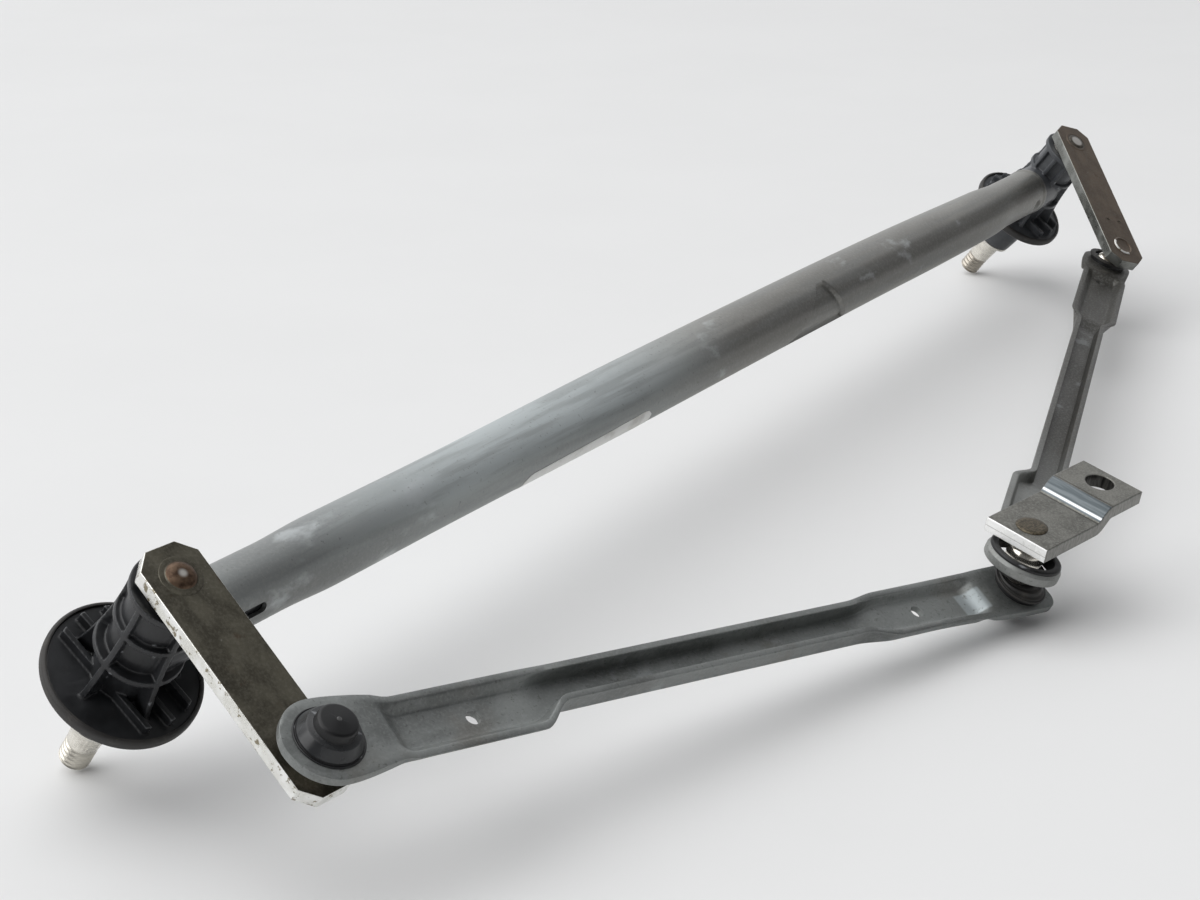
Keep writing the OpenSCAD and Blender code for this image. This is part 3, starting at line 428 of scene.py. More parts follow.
# The right lever's edges: a darker copy of the bright edges, painted shade for the light falling off towards the
# right.
SHADED_RIGHT_EDGE = sheared_edge("shaded_right_edge", 0.74, (0.17, 0.173, 0.16), (0.26, 0.265, 0.25))
CRANK_FACE, CRANK_BEND = crank_face(), crank_bend()
CRANK_SIDE = grained("crank_side", 0.7, (0.2, 0.198, 0.185), (0.32, 0.318, 0.3), (0.42, 0.55), 0.25, 0.06,
                     1.4, stretch=(0.7, 1, 2.5))
# Inside of the crank's shaft hole: darkened as painted shade in the bore.
SHADED_BORE = grained("shaded_bore", 0.8, (0.035, 0.034, 0.032), (0.1, 0.097, 0.09), (0.28, 0.42), 0.2, 0.05,
                    0.9, stretch=(1, 1, 8))
NICKEL, BALL_STEEL = nickel(), nickel("ball_steel", (0.82, 0.78, 0.7), (0.16, 0.22), 0.005)
THREAD_STEEL = nickel("thread_steel", (0.5, 0.46, 0.4), (0.28, 0.4))
RIVET_BROWN = rivet_brown("rivet_brown", (0.045, 0.037, 0.024), (0.13, 0.108, 0.074), 0.9)
PEENED_DOME = rivet_brown("peened_dome", (0.06, 0.034, 0.02), (0.14, 0.09, 0.058), pale=(0.4, 1.8))
PEENED_FLAT = rivet_brown("peened_flat", (0.06, 0.052, 0.042), (0.12, 0.105, 0.085), pale=(2.3, 3.3))
PALE_THREAD = nickel("pale_thread", (0.66, 0.63, 0.56), (0.28, 0.4))
WASHER_STEEL = nickel("washer_steel", (0.74, 0.72, 0.66))
HOUSING_PLASTIC = plastic("housing_plastic", (0.01, 0.0105, 0.0115), (0.019, 0.02, 0.022), (0.3, 0.42))
RIGHT_PLASTIC = plastic("right_housing_plastic", (0.046, 0.049, 0.054), (0.07, 0.074, 0.08), (0.3, 0.42))
SOCKET_PLASTIC = plastic("socket_plastic", (0.005, 0.005, 0.0055), (0.009, 0.0092, 0.0098), (0.36, 0.46))
CAP_GREY = plastic("cap_grey", (0.02, 0.021, 0.0225), (0.034, 0.0355, 0.037), (0.24, 0.34))
CAP_DOT = plastic("cap_dot", (0.05, 0.05, 0.05), (0.09, 0.09, 0.088))
SEAL_RUBBER = blotted("seal_rubber", (0.018, 0.017, 0.016), (0.036, 0.033, 0.03), (10, 0.35, 0.68),
                      (0.5, 0.68), (0.6, 0.25, 0.05), (0.4, (0.1, 0.092, 0.078), 5, 0.55, 0.75))
LABEL_PAPER = blotted("label_paper", (0.8, 0.8, 0.78), (0.6, 0.59, 0.56), (9, 0.45, 0.75, 5), (0.4, 0.55),
                      (0.8, 0.05, 0.02))
BUSH_BRONZE = grained("bush_bronze", 0.9, (0.36, 0.25, 0.14), (0.52, 0.38, 0.22), (0.3, 0.45),
                      0.15, 0.03, 0.8)


# Mesh tools

WELD, SLIVER, FLAT_AREA, DRILL_SIDES = 0.002, 0.001, 40.0, 64


def skin(rows, close_rows=False, close_ring=True, caps=False):
    """Points and faces of a surface through rows of points."""
    n = len(rows[0])
    points = [p for row in rows for p in row]
    faces = []
    for i in range(len(rows) if close_rows else len(rows) - 1):
        a, b = i * n, (i + 1) % len(rows) * n
        for k in range(n if close_ring else n - 1):
            m = (k + 1) % n
            faces.append((a + k, a + m, b + m, b + k))
    if caps:
        faces.append(tuple(reversed(range(n))))
        faces.append(tuple(range(len(points) - n, len(points))))
    return points, faces


def add_object(name, data):
    """A new object in the scene."""
    obj = bpy.data.objects.new(name, data)
    bpy.context.scene.collection.objects.link(obj)
    return obj


def make_object(name, rows, place, **closing):
    """A mesh object through rows of points in millimetres, closed the way that skin is told."""
    points, faces = skin(rows, **closing)
    mesh = bpy.data.meshes.new(name)
    mesh.from_pydata([Vector(p) * MM for p in points], [], faces)
    obj = add_object(name, mesh)
    obj.matrix_world = place
    tidy(obj)
    return obj


def tidy(obj):
    """Welds doubled points, drops empty faces and turns every face outwards."""
    bm = bmesh.new()
    bm.from_mesh(obj.data)
    bmesh.ops.remove_doubles(bm, verts=bm.verts, dist=WELD * MM)
    bmesh.ops.dissolve_degenerate(bm, edges=bm.edges, dist=SLIVER * MM)
    bmesh.ops.recalc_face_normals(bm, faces=bm.faces)
    bm.to_mesh(obj.data)
    bm.free()


def apply_modifiers(obj):
    """Turns what the modifiers show into the object's own mesh."""
    depsgraph = bpy.context.evaluated_depsgraph_get()
    depsgraph.update()
    mesh = bpy.data.meshes.new_from_object(obj.evaluated_get(depsgraph))
    obj.modifiers.clear()
    obj.data = mesh


def combine(obj, other, operation):
    """Joins or cuts obj by other, which goes."""
    bpy.context.view_layer.update()
    mod = obj.modifiers.new("combine", "BOOLEAN")
    mod.operation, mod.object, mod.solver = operation, other, "EXACT"
    apply_modifiers(obj)
    bpy.data.objects.remove(other)


def bevelled(obj, width, angle=35):
    """Rounds the edges that turn by more than an angle."""
    mod = obj.modifiers.new("bevel", "BEVEL")
    mod.width, mod.segments, mod.limit_method = width * MM, 3, "ANGLE"
    mod.angle_limit = radians(angle)
    apply_modifiers(obj)


def dress(obj, body, materials, hides=(), pick=None, angle=35):
    """Gives a finished mesh its materials, its body and the nodes it stands for."""
    mesh = obj.data
    mesh.materials.clear()
    for material in materials:
        mesh.materials.append(material)
    if pick:
        for face in mesh.polygons:
            face.material_index = pick(face.center / MM, face.normal)
    mesh.shade_smooth()
    mesh.set_sharp_from_angle(angle=radians(angle))
    for face in mesh.polygons:
        if face.area > FLAT_AREA * MM ** 2:
            face.use_smooth = False
    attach(obj, body)
    if hides:
        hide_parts(*hides)


def circle(count):
    """Even angles all the way round."""
    return [2 * pi * k / count for k in range(count)]


def drill(obj, place, x, radius, low, high, y=0.0):
    """Drills a round hole along z, from low to high, at a place in the piece."""
    ring = [(x + radius * cos(a), y + radius * sin(a)) for a in circle(DRILL_SIDES)]
    rows = [[(*point, z) for point in ring] for z in (low, high)]
    combine(obj, make_object("drill", rows, place, caps=True), "DIFFERENCE")


def fillet(corners, steps=5, closed=False):
    """A 2-D outline through corners of (x, y, radius), each rounded to its own radius."""
    points = [Vector(corner[:2]) for corner in corners]
    out, n = [], len(points)
    for i, (at, (_, _, r)) in enumerate(zip(points, corners)):
        if r == 0 or (not closed and i in (0, n - 1)):
            out.append(at)
            continue
        u = (points[i - 1] - at).normalized()
        v = (points[(i + 1) % n] - at).normalized()
        half = u.angle(v) / 2
        middle = at + (u + v).normalized() * r / sin(half)
        start = at + u * r / math.tan(half) - middle
        sweep = math.copysign(pi - 2 * half, u.y * v.x - u.x * v.y)
        for k in range(steps + 1):
            a = sweep * k / steps
            out.append(middle + Vector((start.x * cos(a) - start.y * sin(a),
                                        start.x * sin(a) + start.y * cos(a))))
    return [(p.x, p.y) for p in out]


def turned(name, outline, place, sides=96, radius=None, closed=False):
    """A turned piece from an outline of (radius, height); radius may vary it with the angle."""
    rows = []
    for r, z in outline:
        ring = [(radius(r, z, a) if radius else r, a) for a in circle(sides)]
        rows.append([(rr * cos(a), rr * sin(a), z) for rr, a in ring])
    return make_object(name, rows, place, close_rows=closed)


def mix(a, b, t):
    return a + (b - a) * t


def smooth(t):
    """0 to 1 in an S curve."""
    u = min(1.0, max(0.0, t))
    return u * u * (3 - 2 * u)


def faded(x, span, fades):
    """1 inside a span and 0 outside it, softened over a length at each end."""
    return smooth((x - span[0]) / fades[0]) * smooth((span[1] - x) / fades[1])


def ease(t, soft=0.25):
    """0 to 1 in a straight slope with its two ends rounded off."""
    u = min(1.0, max(0.0, t))
    if u < soft:
        return u * u / (2 * soft * (1 - soft))
    if u > 1 - soft:
        return 1 - (1 - u) ** 2 / (2 * soft * (1 - soft))
    return (u - soft / 2) / (1 - soft)


def spread(low, high, count):
    """Even steps from low to high, both ends included."""
    return [low + (high - low) * i / count for i in range(count + 1)]


# Frame tube

TUBE_SIDES, TUBE_STEP, FINE_STEP, TUBE_RIM = 112, 2.0, 0.7, 0.4
LIP_RISE, LIP_START, LIP_RAMP, CRIMP_FLAT = 0.45, 3.4, 1.4, 0.45
FACET_APEX, FACET_BASE, FACET_DEPTH, FACET_SOFT = (396.0, 96.0), (372.0, 404.0, 168.0), 1.7, 0.9
FACET_TIP, FACET_OVERRUN, ARC_PER_DEGREE = 5.0, (8.0, 25.0), 0.2
FINE_SPANS = ((TUBE_LENGTH - 16, TUBE_LENGTH), (FACET_BASE[0] - 24, FACET_BASE[1] - 10))


def opened(x):
    """0 at the swaged ends, 1 where the tube has its full size."""
    return smooth((min(x, TUBE_LENGTH - x) - SWAGE_LENGTH) / SWAGE_RAMP)


def tube_half(x):
    """Half width and half height of the tube, which is pressed oval in the middle."""
    s = x + TUBE_GAP
    share = smooth((s - OVAL_START) / OVAL_RAMP + 0.5) * smooth((OVAL_END - s) / OVAL_RAMP + 0.5) * opened(x)
    r = mix(TUBE_END_R, TUBE_R, opened(x))
    return mix(r, OVAL_HALF_W, share), mix(r, OVAL_HALF_H, share)


def tube_bow(x):
    """Rise of the tube's slightly bowed middle."""
    span = SWAGE_LENGTH, TUBE_LENGTH - SWAGE_LENGTH
    return BOW_RISE * faded(x, span, (TUBE_LENGTH * BOW_UP, TUBE_LENGTH * BOW_DOWN))


def pressed_facet(x, angle):
    """Depth of the triangular flat pressed into the tube's side."""
    a = math.degrees(angle) % 360
    s = x + TUBE_GAP
    rise = (a - FACET_APEX[1]) / (FACET_BASE[2] - FACET_APEX[1])
    left = mix(FACET_APEX[0], FACET_BASE[0], rise) - FACET_TIP
    right = mix(FACET_APEX[0], FACET_BASE[1], rise) + FACET_TIP
    near = (a - FACET_APEX[1] + FACET_OVERRUN[0]) * ARC_PER_DEGREE
    far = (FACET_BASE[2] + FACET_OVERRUN[1] - a) * ARC_PER_DEGREE
    return FACET_DEPTH * smooth(min(s - left, right - s, near, far) / FACET_SOFT)


def crimp(x, angle):
    """Depth of the two round dents near the tube's right end."""
    depth = 0.0
    for middle in (CRIMP_ANGLE, CRIMP_ANGLE + pi):
        turn = (angle - middle + pi) % (2 * pi) - pi
        d = hypot(x - (TUBE_LENGTH - CRIMP_OFFSET), turn * TUBE_END_R) / CRIMP_R
        depth += CRIMP_DEPTH * (1 - smooth((d - CRIMP_FLAT) / (1 - CRIMP_FLAT)))
    return depth


def tube_point(x, angle, inset):
    """A point of the tube at x and angle, inset from its outside."""
    w, h = tube_half(x)
    lip = LIP_RISE * smooth((x - TUBE_LENGTH + LIP_START) / LIP_RAMP)
    cut = inset + pressed_facet(x, angle) + crimp(x, angle) - lip
    return (x + TUBE_GAP, (w - cut) * cos(angle), (h - cut) * sin(angle) + tube_bow(x))


def tube_ring(x, inset):
    return [tube_point(x, a, inset) for a in circle(TUBE_SIDES)]


def build_tube():
    stations = set(spread(0, TUBE_LENGTH, round(TUBE_LENGTH / TUBE_STEP)))
    for low, high in FINE_SPANS:
        fine = spread(low, high, round((high - low) / FINE_STEP))
        stations = {x for x in stations if not low <= x <= high} | set(fine)
    stations = sorted(stations)
    rows = [tube_ring(0, TUBE_RIM), tube_ring(TUBE_RIM, 0)] + [tube_ring(x, 0) for x in stations[1:-1]]
    rows += [tube_ring(TUBE_LENGTH - TUBE_RIM, 0), tube_ring(TUBE_LENGTH, TUBE_RIM)]
    rows += [tube_ring(x, TUBE_WALL) for x in reversed(stations)]
    tube = make_object("dressed_tube", rows, PLACES["tube"], close_rows=True)
    half = SLOT_W / 2
    straight = SLOT_LENGTH - half
    turns = spread(-pi / 2, pi / 2, 16)
    arc = [(straight + half * cos(a), half * sin(a)) for a in turns]
    outline = [(-OVERRUN, -half), *arc, (-OVERRUN, half)]
    rows = [[(x + TUBE_GAP, y, z) for x, z in outline] for y in (0.0, 2 * TUBE_R)]
    cutter = make_object("slot", rows, PLACES["tube"] @ Matrix.Rotation(SLOT_ANGLE, 4, "X"), caps=True)
    combine(tube, cutter, "DIFFERENCE")
    dress(tube, "frame", [TUBE_ZINC], ["frame_tube"], angle=40)


LABEL_X, LABEL_EDGE, LABEL_TURN = (174.0, 253.0), (165.0, 153.0), 62.0
LABEL_T, LABEL_SINK, LABEL_NIP, LABEL_CORNER = 0.12, 0.05, 12.0, 5.0


def build_label():
    """Blank label wrapped under the tube, with rounded ends."""
    rows = []
    for x in spread(*LABEL_X, 40):
        end = min(x - LABEL_X[0], LABEL_X[1] - x)
        nip = LABEL_NIP * (1 - math.sqrt(1 - (1 - min(1.0, end / LABEL_CORNER)) ** 2))
        low = mix(*LABEL_EDGE, (x - LABEL_X[0]) / (LABEL_X[1] - LABEL_X[0])) + nip
        turns = [radians(a) for a in spread(low, low + LABEL_TURN - 2 * nip, 20)]
        row = [tube_point(x - TUBE_GAP, a, -LABEL_T) for a in turns]
        rows.append(row + [tube_point(x - TUBE_GAP, a, LABEL_SINK) for a in reversed(turns)])
    label = make_object("blank_label", rows, PLACES["tube"], caps=True)
    dress(label, "frame", [LABEL_PAPER], angle=50)


# Pivot housings

VOXEL, MELT, MELT_STEPS, KEPT_FACES = 0.34, 0.5, 2, 0.25
SEAL_INSET, SEAL_TOP_INSET, SEAL_OUTER_R, SEAL_INNER_R, SEAL_SIDES = 2.0, 0.2, 1.3, 0.6, 160


def build_housing(side):
    """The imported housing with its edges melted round, as a moulding's are."""
    node = side + "_housing"
    obj = add_object("moulded_" + node, frame["nodes"][node].data.copy())
    tidy(obj)
    remesh = obj.modifiers.new("remesh", "REMESH")
    remesh.mode, remesh.voxel_size = "VOXEL", VOXEL * MM
    melt = obj.modifiers.new("melt", "SMOOTH")
    melt.factor, melt.iterations = MELT, MELT_STEPS
    thin = obj.modifiers.new("thin", "DECIMATE")
    thin.ratio = KEPT_FACES
    apply_modifiers(obj)
    finish = HOUSING_PLASTIC if side == "left" else RIGHT_PLASTIC
    dress(obj, "frame", [finish], [node], angle=60)


def build_flange_seal(side):
    """Rubber ring with the flange in its groove."""
    inner, over = FLANGE_R - SEAL_INSET, FLANGE_R - SEAL_TOP_INSET
    outer = inner + SEAL_RING_W
    middle = FLANGE_START + FLANGE_T / 2
    low, high = middle - SEAL_RING_H / 2, middle + SEAL_RING_H / 2
    groove, floor, roof = FLANGE_R + FIT, FLANGE_START - FIT, FLANGE_START + FLANGE_T + FIT
    outline = fillet([(over, roof, 0), (over, high, SEAL_INNER_R), (outer, high, SEAL_OUTER_R),
                      (outer, low, SEAL_OUTER_R), (inner, low, SEAL_INNER_R), (inner, floor, 0),
                      (groove, floor, 0), (groove, roof, 0)], closed=True)
    ring = turned("seal_ring_" + side, outline, PLACES[side + "_spindle"], SEAL_SIDES, closed=True)
    dress(ring, "frame", [SEAL_RUBBER], [side + "_flange_seal"])


# Spindles and levers

SPINDLE_SIDES, KNURL_TEETH, KNURL_DEPTH = 176, 24, 0.09
THREAD_SPAN, THREAD_FADES = (0.6, THREAD_LENGTH - 0.4), (0.6, 0.8)
KNURL_SPAN, KNURL_FADES = (THREAD_LENGTH + 0.5, TAPER_END - 1.5), (0.8, 1.2)
CENTRE_R, CENTRE_DEPTH, CHAMFER_R, CHAMFER_H = (1.2, 2.0), 0.9, 0.9, 0.8
HEAD_RIM_R = 4.6
HEADS = {"left": [(6.4, 0), (6.3, 0.14), (5.9, 0.2), (PEEN_R, 0.1), (4.75, 0.12), (4.5, 0.42), (4.25, 0.78),
                  (3.7, 1.16), (2.9, 1.42), (1.9, 1.56), (0.9, PEEN_H), (0, PEEN_H)],
         "right": [(5.9, 0), (5.8, 0.16), (5.4, 0.22), (4.9, 0.12), (4.3, 0.1), (4.0, 0.34), (3.5, 0.5),
                   (2.4, 0.58), (0, 0.6)]}
SPINDLE_FINISHES = {"left": [NICKEL, PEENED_DOME, LEVER_OXIDE, PALE_THREAD],
                    "right": [NICKEL, PEENED_FLAT, BROWN_OXIDE, THREAD_STEEL]}


def thread_radius(r, z, angle):
    """Radius of the spindle with its thread and its splined taper."""
    wave = abs(((z / THREAD_PITCH - angle / (2 * pi)) % 1) * 2 - 1)
    tooth = 0.5 + 0.5 * cos(KNURL_TEETH * angle)
    thread = THREAD_DEPTH * faded(z, THREAD_SPAN, THREAD_FADES) * smooth(wave)
    return r - thread - KNURL_DEPTH * faded(z, KNURL_SPAN, KNURL_FADES) * tooth


def spindle_outline(side):
    """Centre hole, thread, taper, circlip groove, shaft, shank and peened head."""
    shoulder = SPINDLE_LENGTH - LEVER_T
    groove, groove_r = RETAINER_BOTTOM - CIRCLIP_T, SHAFT_R - GROOVE_DEPTH
    outline = [(0, CENTRE_DEPTH), (CENTRE_R[0], CENTRE_DEPTH), (CENTRE_R[1], 0), (THREAD_R - CHAMFER_R, 0)]
    outline += [(THREAD_R - CHAMFER_R * (1 - t), CHAMFER_H * t) for t in spread(0.3, 1, 3)]
    outline += [(THREAD_R, z) for z in spread(CHAMFER_H + 0.1, THREAD_LENGTH, 64)]
    outline += [(mix(THREAD_R, SHAFT_R, t), mix(THREAD_LENGTH, TAPER_END, t)) for t in spread(0.03, 1, 30)]
    outline += [(SHAFT_R, groove), (groove_r, groove), (groove_r, RETAINER_BOTTOM)]
    outline += [(SHAFT_R, RETAINER_BOTTOM), (SHAFT_R, shoulder)]
    outline += [(SHANK_R, shoulder), (SHANK_R, SPINDLE_LENGTH)]
    return outline + [(r, SPINDLE_LENGTH + h) for r, h in HEADS[side]]


def spindle_finish(centre, normal):
    """0 bright shaft, 1 peened head, 2 its rim in the lever's own finish, 3 thread."""
    if centre.z < SPINDLE_LENGTH:
        return 3 if centre.z < THREAD_LENGTH else 0
    return 2 if hypot(centre.x, centre.y) > HEAD_RIM_R else 1


def build_spindle(side):
    place = PLACES[side + "_spindle"]
    obj = turned("turned_spindle_" + side, spindle_outline(side), place, SPINDLE_SIDES, thread_radius)
    dress(obj, side + "_lever_assembly", SPINDLE_FINISHES[side], [side + "_spindle"],
          spindle_finish, 30)


def lever_length(foot, ball):
    """Distance between a lever's two centres, across its spindle."""
    arm = ball - foot
    return (arm - UP * arm.dot(UP)).length / MM


LEVER_LENGTHS = {"left": lever_length(LEFT_FOOT, LEFT_BALL), "right": lever_length(RIGHT_FOOT, RIGHT_BALL)}
LEVER_FINISHES = {"left": [LEVER_OXIDE, BRIGHT_EDGE], "right": [BROWN_OXIDE, SHADED_RIGHT_EDGE]}
LEVER_BEVEL, PUNCH_R, PUNCH_DEPTH = 0.4, 1.2, 0.3
PUNCH_MARKS = {"left": (), "right": ((-16.6, -2.1), (-16.5, 4.6))}


def lever_finish(centre, normal):
    """0 the flat faces, 1 the sheared edges."""
    return 0 if abs(normal.z) > 0.9 else 1


def build_lever(side):
    length = LEVER_LENGTHS[side]
    c, h, near, far = LEVER_CHAMFER, LEVER_W / 2, -LEVER_OVERHANG, length + LEVER_OVERHANG
    outline = [(near, h - c), (near, c - h), (near + c, -h), (far - c, -h),
               (far, c - h), (far, h - c), (far - c, h), (near + c, h)]
    place = PLACES[side + "_lever"]
    bottom, top = SPINDLE_LENGTH - LEVER_T, SPINDLE_LENGTH
    rows = [[(x, y, z) for x, y in outline] for z in (bottom, top)]
    lever = make_object("sheared_lever_" + side, rows, place, caps=True)
    for x in (0.0, length):
        drill(lever, place, x, SHANK_R + FIT, bottom - OVERRUN, top + OVERRUN)
    bevelled(lever, LEVER_BEVEL)
    for x, y in PUNCH_MARKS[side]:
        drill(lever, place, length + x, PUNCH_R, top - PUNCH_DEPTH, top + OVERRUN, y)
    dress(lever, side + "_lever_assembly", LEVER_FINISHES[side], [side + "_lever"],
          lever_finish, 40)


# Ball studs and sockets

STUD_FACE, STUD_BACK = -BALL_HEIGHT, -BALL_HEIGHT - LEVER_T
NECK_ANGLE = math.asin(BALL_NECK_R / BALL_R)
RIVET_HEAD = [(0, 0.12), (3.4, 0.14), (3.9, 0.2), (4.3, 0.5), (4.7, 0.55), (5.1, 0.4), (5.3, 0.2),
              (RIVET_R, 0.12), (RIVET_R, 0)]
CRANK_HEAD = [(RIVET_R, 0), (RIVET_R, 0.15), (5.1, 0.38), (4.6, 0.52), (3.6, RIVET_H), (0, 0.5)]
# Ring of a ball stud's rim, and the side of it that is painted bright as a highlight.
HIGHLIT_RIM_RING, HIGHLIT_RIM_SIDE = (4.0, 5.2), -1.5


def ball_arc(centre, low, high):
    """Outline of a ball from one neck to the other, angles from the bottom."""
    return [(BALL_R * sin(a), centre - BALL_R * cos(a)) for a in spread(low, high, 28)]


def stud_finish(centre, normal):
    """0 bright ball, 1 riveted head in the lever's finish, 2 one side of its rim, painted bright as a highlight.
    """
    if centre.z > STUD_BACK:
        return 0
    on_rim = HIGHLIT_RIM_RING[0] < hypot(centre.x, centre.y) < HIGHLIT_RIM_RING[1]
    return 2 if on_rim and centre.x < HIGHLIT_RIM_SIDE else 1


def build_ball_stud(side):
    outline = [(r, STUD_BACK - h) for r, h in RIVET_HEAD] + [(SHANK_R, STUD_BACK), (SHANK_R, STUD_FACE)]
    outline += [(RIVET_R, STUD_FACE), (RIVET_R - 0.2, STUD_FACE + 0.3), (BALL_NECK_R + 0.5, STUD_FACE + 0.7)]
    outline += [(BALL_NECK_R, STUD_FACE + 1.2)] + ball_arc(0, NECK_ANGLE, pi)
    stud = turned("ball_stud_" + side, outline, PLACES[side + "_ball"])
    dress(stud, side + "_lever_assembly", [BALL_STEEL, BROWN_OXIDE, BRIGHT_EDGE],
          [side + "_ball_stud"], stud_finish, 30)


def crank_stud_finish(centre, normal):
    """0 bright balls, 1 brown riveted head."""
    return 1 if centre.z > CRANK_TOP else 0


def build_double_stud():
    plate = CRANK_TOP - CRANK_T
    outline = ball_arc(0, 0, pi - NECK_ANGLE) + ball_arc(BALL_PITCH, NECK_ANGLE, pi - NECK_ANGLE)
    outline += [(BALL_NECK_R, plate), (SHANK_R, plate), (SHANK_R, CRANK_TOP)]
    outline += [(r, CRANK_TOP + h) for r, h in CRANK_HEAD]
    stud = turned("double_stud", outline, PLACES["crank"])
    dress(stud, "crank", [BALL_STEEL, RIVET_BROWN], ["double_ball_stud"],
          crank_stud_finish, 30)


BOOT_FOLD, BOOT_ROUND, FOLD_TURN = 0.12, 0.05, 6 * pi


def build_stud_boot():
    """Dished boot with folds in its rubber and a rounded rim."""
    foot, inner = BALL_PITCH / 2 - BOOT_DROP, BALL_NECK_R + FIT
    folds = []
    for t in spread(0, 1, 36):
        folds.append((mix(inner, BOOT_R, t), foot + BOOT_RISE * t + BOOT_FOLD * sin(FOLD_TURN * t)))
    rim = (BOOT_R + BOOT_ROUND, folds[-1][1] + BOOT_T / 2)
    outline = folds + [rim] + [(r, z + BOOT_T) for r, z in reversed(folds)]
    boot = turned("folded_stud_boot", outline, PLACES["crank"], closed=True)
    dress(boot, "crank", [SEAL_RUBBER], ["stud_boot"], angle=50)


STEP_R, STEP_Z, DOT_R, CAP_SPREAD = 7.6, 5.6, 0.7, 0.6
SOCKET_SEAT = (ROD_T + PAD_BOSS) / 2
CAP_RIM_TOP = SOCKET_SEAT + CAP_RIM_H
MOUTH_R, MOUTH_Z = BALL_SEAT_R * sin(MOUTH_ANGLE), -BALL_SEAT_R * cos(MOUTH_ANGLE)


def cap_finish(centre, normal):
    """0 black rim and dome, 1 grey tapered body, 2 grey moulding dot."""
    r = hypot(centre.x, centre.y)
    if r < DOT_R + 0.15 and centre.z > CAP_H - 0.4:
        return 2
    return 1 if r > DOME_R and CAP_RIM_TOP < centre.z < STEP_Z + 0.4 else 0


def build_socket(name, place, body):
    """Snap-in cup with a thin rim, a tapered body, a step and a dome with a small moulding dot."""
    wide = CAP_R + CAP_SPREAD
    outside = fillet([
        (MOUTH_R, MOUTH_Z, 0), (SOCKET_R, MOUTH_Z, 0.4), (SOCKET_R, SOCKET_SEAT, 0), (wide, SOCKET_SEAT, 0.2),
        (wide, CAP_RIM_TOP - 0.1, 0.3), (SOCKET_R + 1.0, CAP_RIM_TOP - 0.45, 0.15),
        (SOCKET_R + 0.85, CAP_RIM_TOP + 0.3, 0.3), (STEP_R, STEP_Z, 0.6), (DOME_R + 0.25, STEP_Z + 0.35, 0.2),
        (DOME_R - 0.05, CAP_H - 0.45, 1.1), (DOT_R, CAP_H - 0.15, 0.1), (DOT_R - 0.15, CAP_H, 0.1),
        (0, CAP_H, 0)])
    turns = spread(0, pi - MOUTH_ANGLE, 24)
    cup = [(BALL_SEAT_R * sin(a), BALL_SEAT_R * cos(a)) for a in turns]
    socket = turned("cap_" + name, outside + cup, place)
    dress(socket, body, [SOCKET_PLASTIC, CAP_GREY, CAP_DOT], [name], cap_finish, 40)


def build_dust_seal(name, place, body):
    inner, low = MOUTH_R + SEAL_ROOM, MOUTH_Z - SEAL_T
    outline = fillet([(inner, low, 0.3), (CAP_R, low, 0.4), (CAP_R, MOUTH_Z, 0.3), (inner, MOUTH_Z, 0.1)],
                     closed=True)
    seal = turned("boot_" + name, outline, place, closed=True)
    dress(seal, body, [SEAL_RUBBER], [name])


BELLOWS_TOP, BELLOWS_T, BELLOWS_SIDES, BELLOWS_INSET = (4.8, 5.45), 0.5, 96, 0.5
BELLOWS_BULGE, BELLOWS_FOLD, BELLOWS_WIDEN, SEAL_SHARE = 0.9, 0.18, 0.4, 0.6


def build_bellows():
    """Rubber skirt from the lower socket's mouth up to the stud, whose tilt against the rod never changes."""
    to_rod = PLACES["left_rod"].inverted()
    foot = Vector((LEFT_ROD_LENGTH, 0, SEAL_T * SEAL_SHARE - MOUTH_Z))
    rows = []
    for t in spread(0, 1, 18):
        bulge = sin(pi * t) * BELLOWS_BULGE + BELLOWS_FOLD * sin(FOLD_TURN * t)
        row = []
        for a in circle(BELLOWS_SIDES):
            turn = Vector((cos(a), sin(a), 0))
            low = foot + turn * (CAP_R - BELLOWS_INSET)
            tip = turn * BELLOWS_TOP[0] + Vector((0, 0, BELLOWS_TOP[1]))
            high = to_rod @ (PLACES["crank"] @ (tip * MM)) / MM
            row.append(low.lerp(high, t) + turn * bulge * BELLOWS_WIDEN + Vector((0, 0, bulge)))
        rows.append(row)
    inner = [[p - Vector((0, 0, BELLOWS_T)) for p in row] for row in reversed(rows)]
    bellows = make_object("lower_bellows", rows + inner, PLACES["left_rod"], close_rows=True)
    dress(bellows, "left_rod_assembly", [SEAL_RUBBER], angle=60)


# Pressed rods

ROD_STEP, RIM_R, RIM_ROUND, RIM_FOLD, END_FADE, BOSS_RAMP, PAD_RUN = 1.6, 0.32, 0.3, 2.4, 46.0, 5.0, 26.0
WEB_STEPS, WALL_STEPS, LEAST_RUN, LEAST_SQUARE = 3, 12, 0.2, 0.02
RING_LAP, RING_CORE_R, RING_SHOULDER = 6.0, 2.0, (0.8, 0.9)
PAD_DRILL, TRAY_DRILL = (-8, 8), (-20, 8)


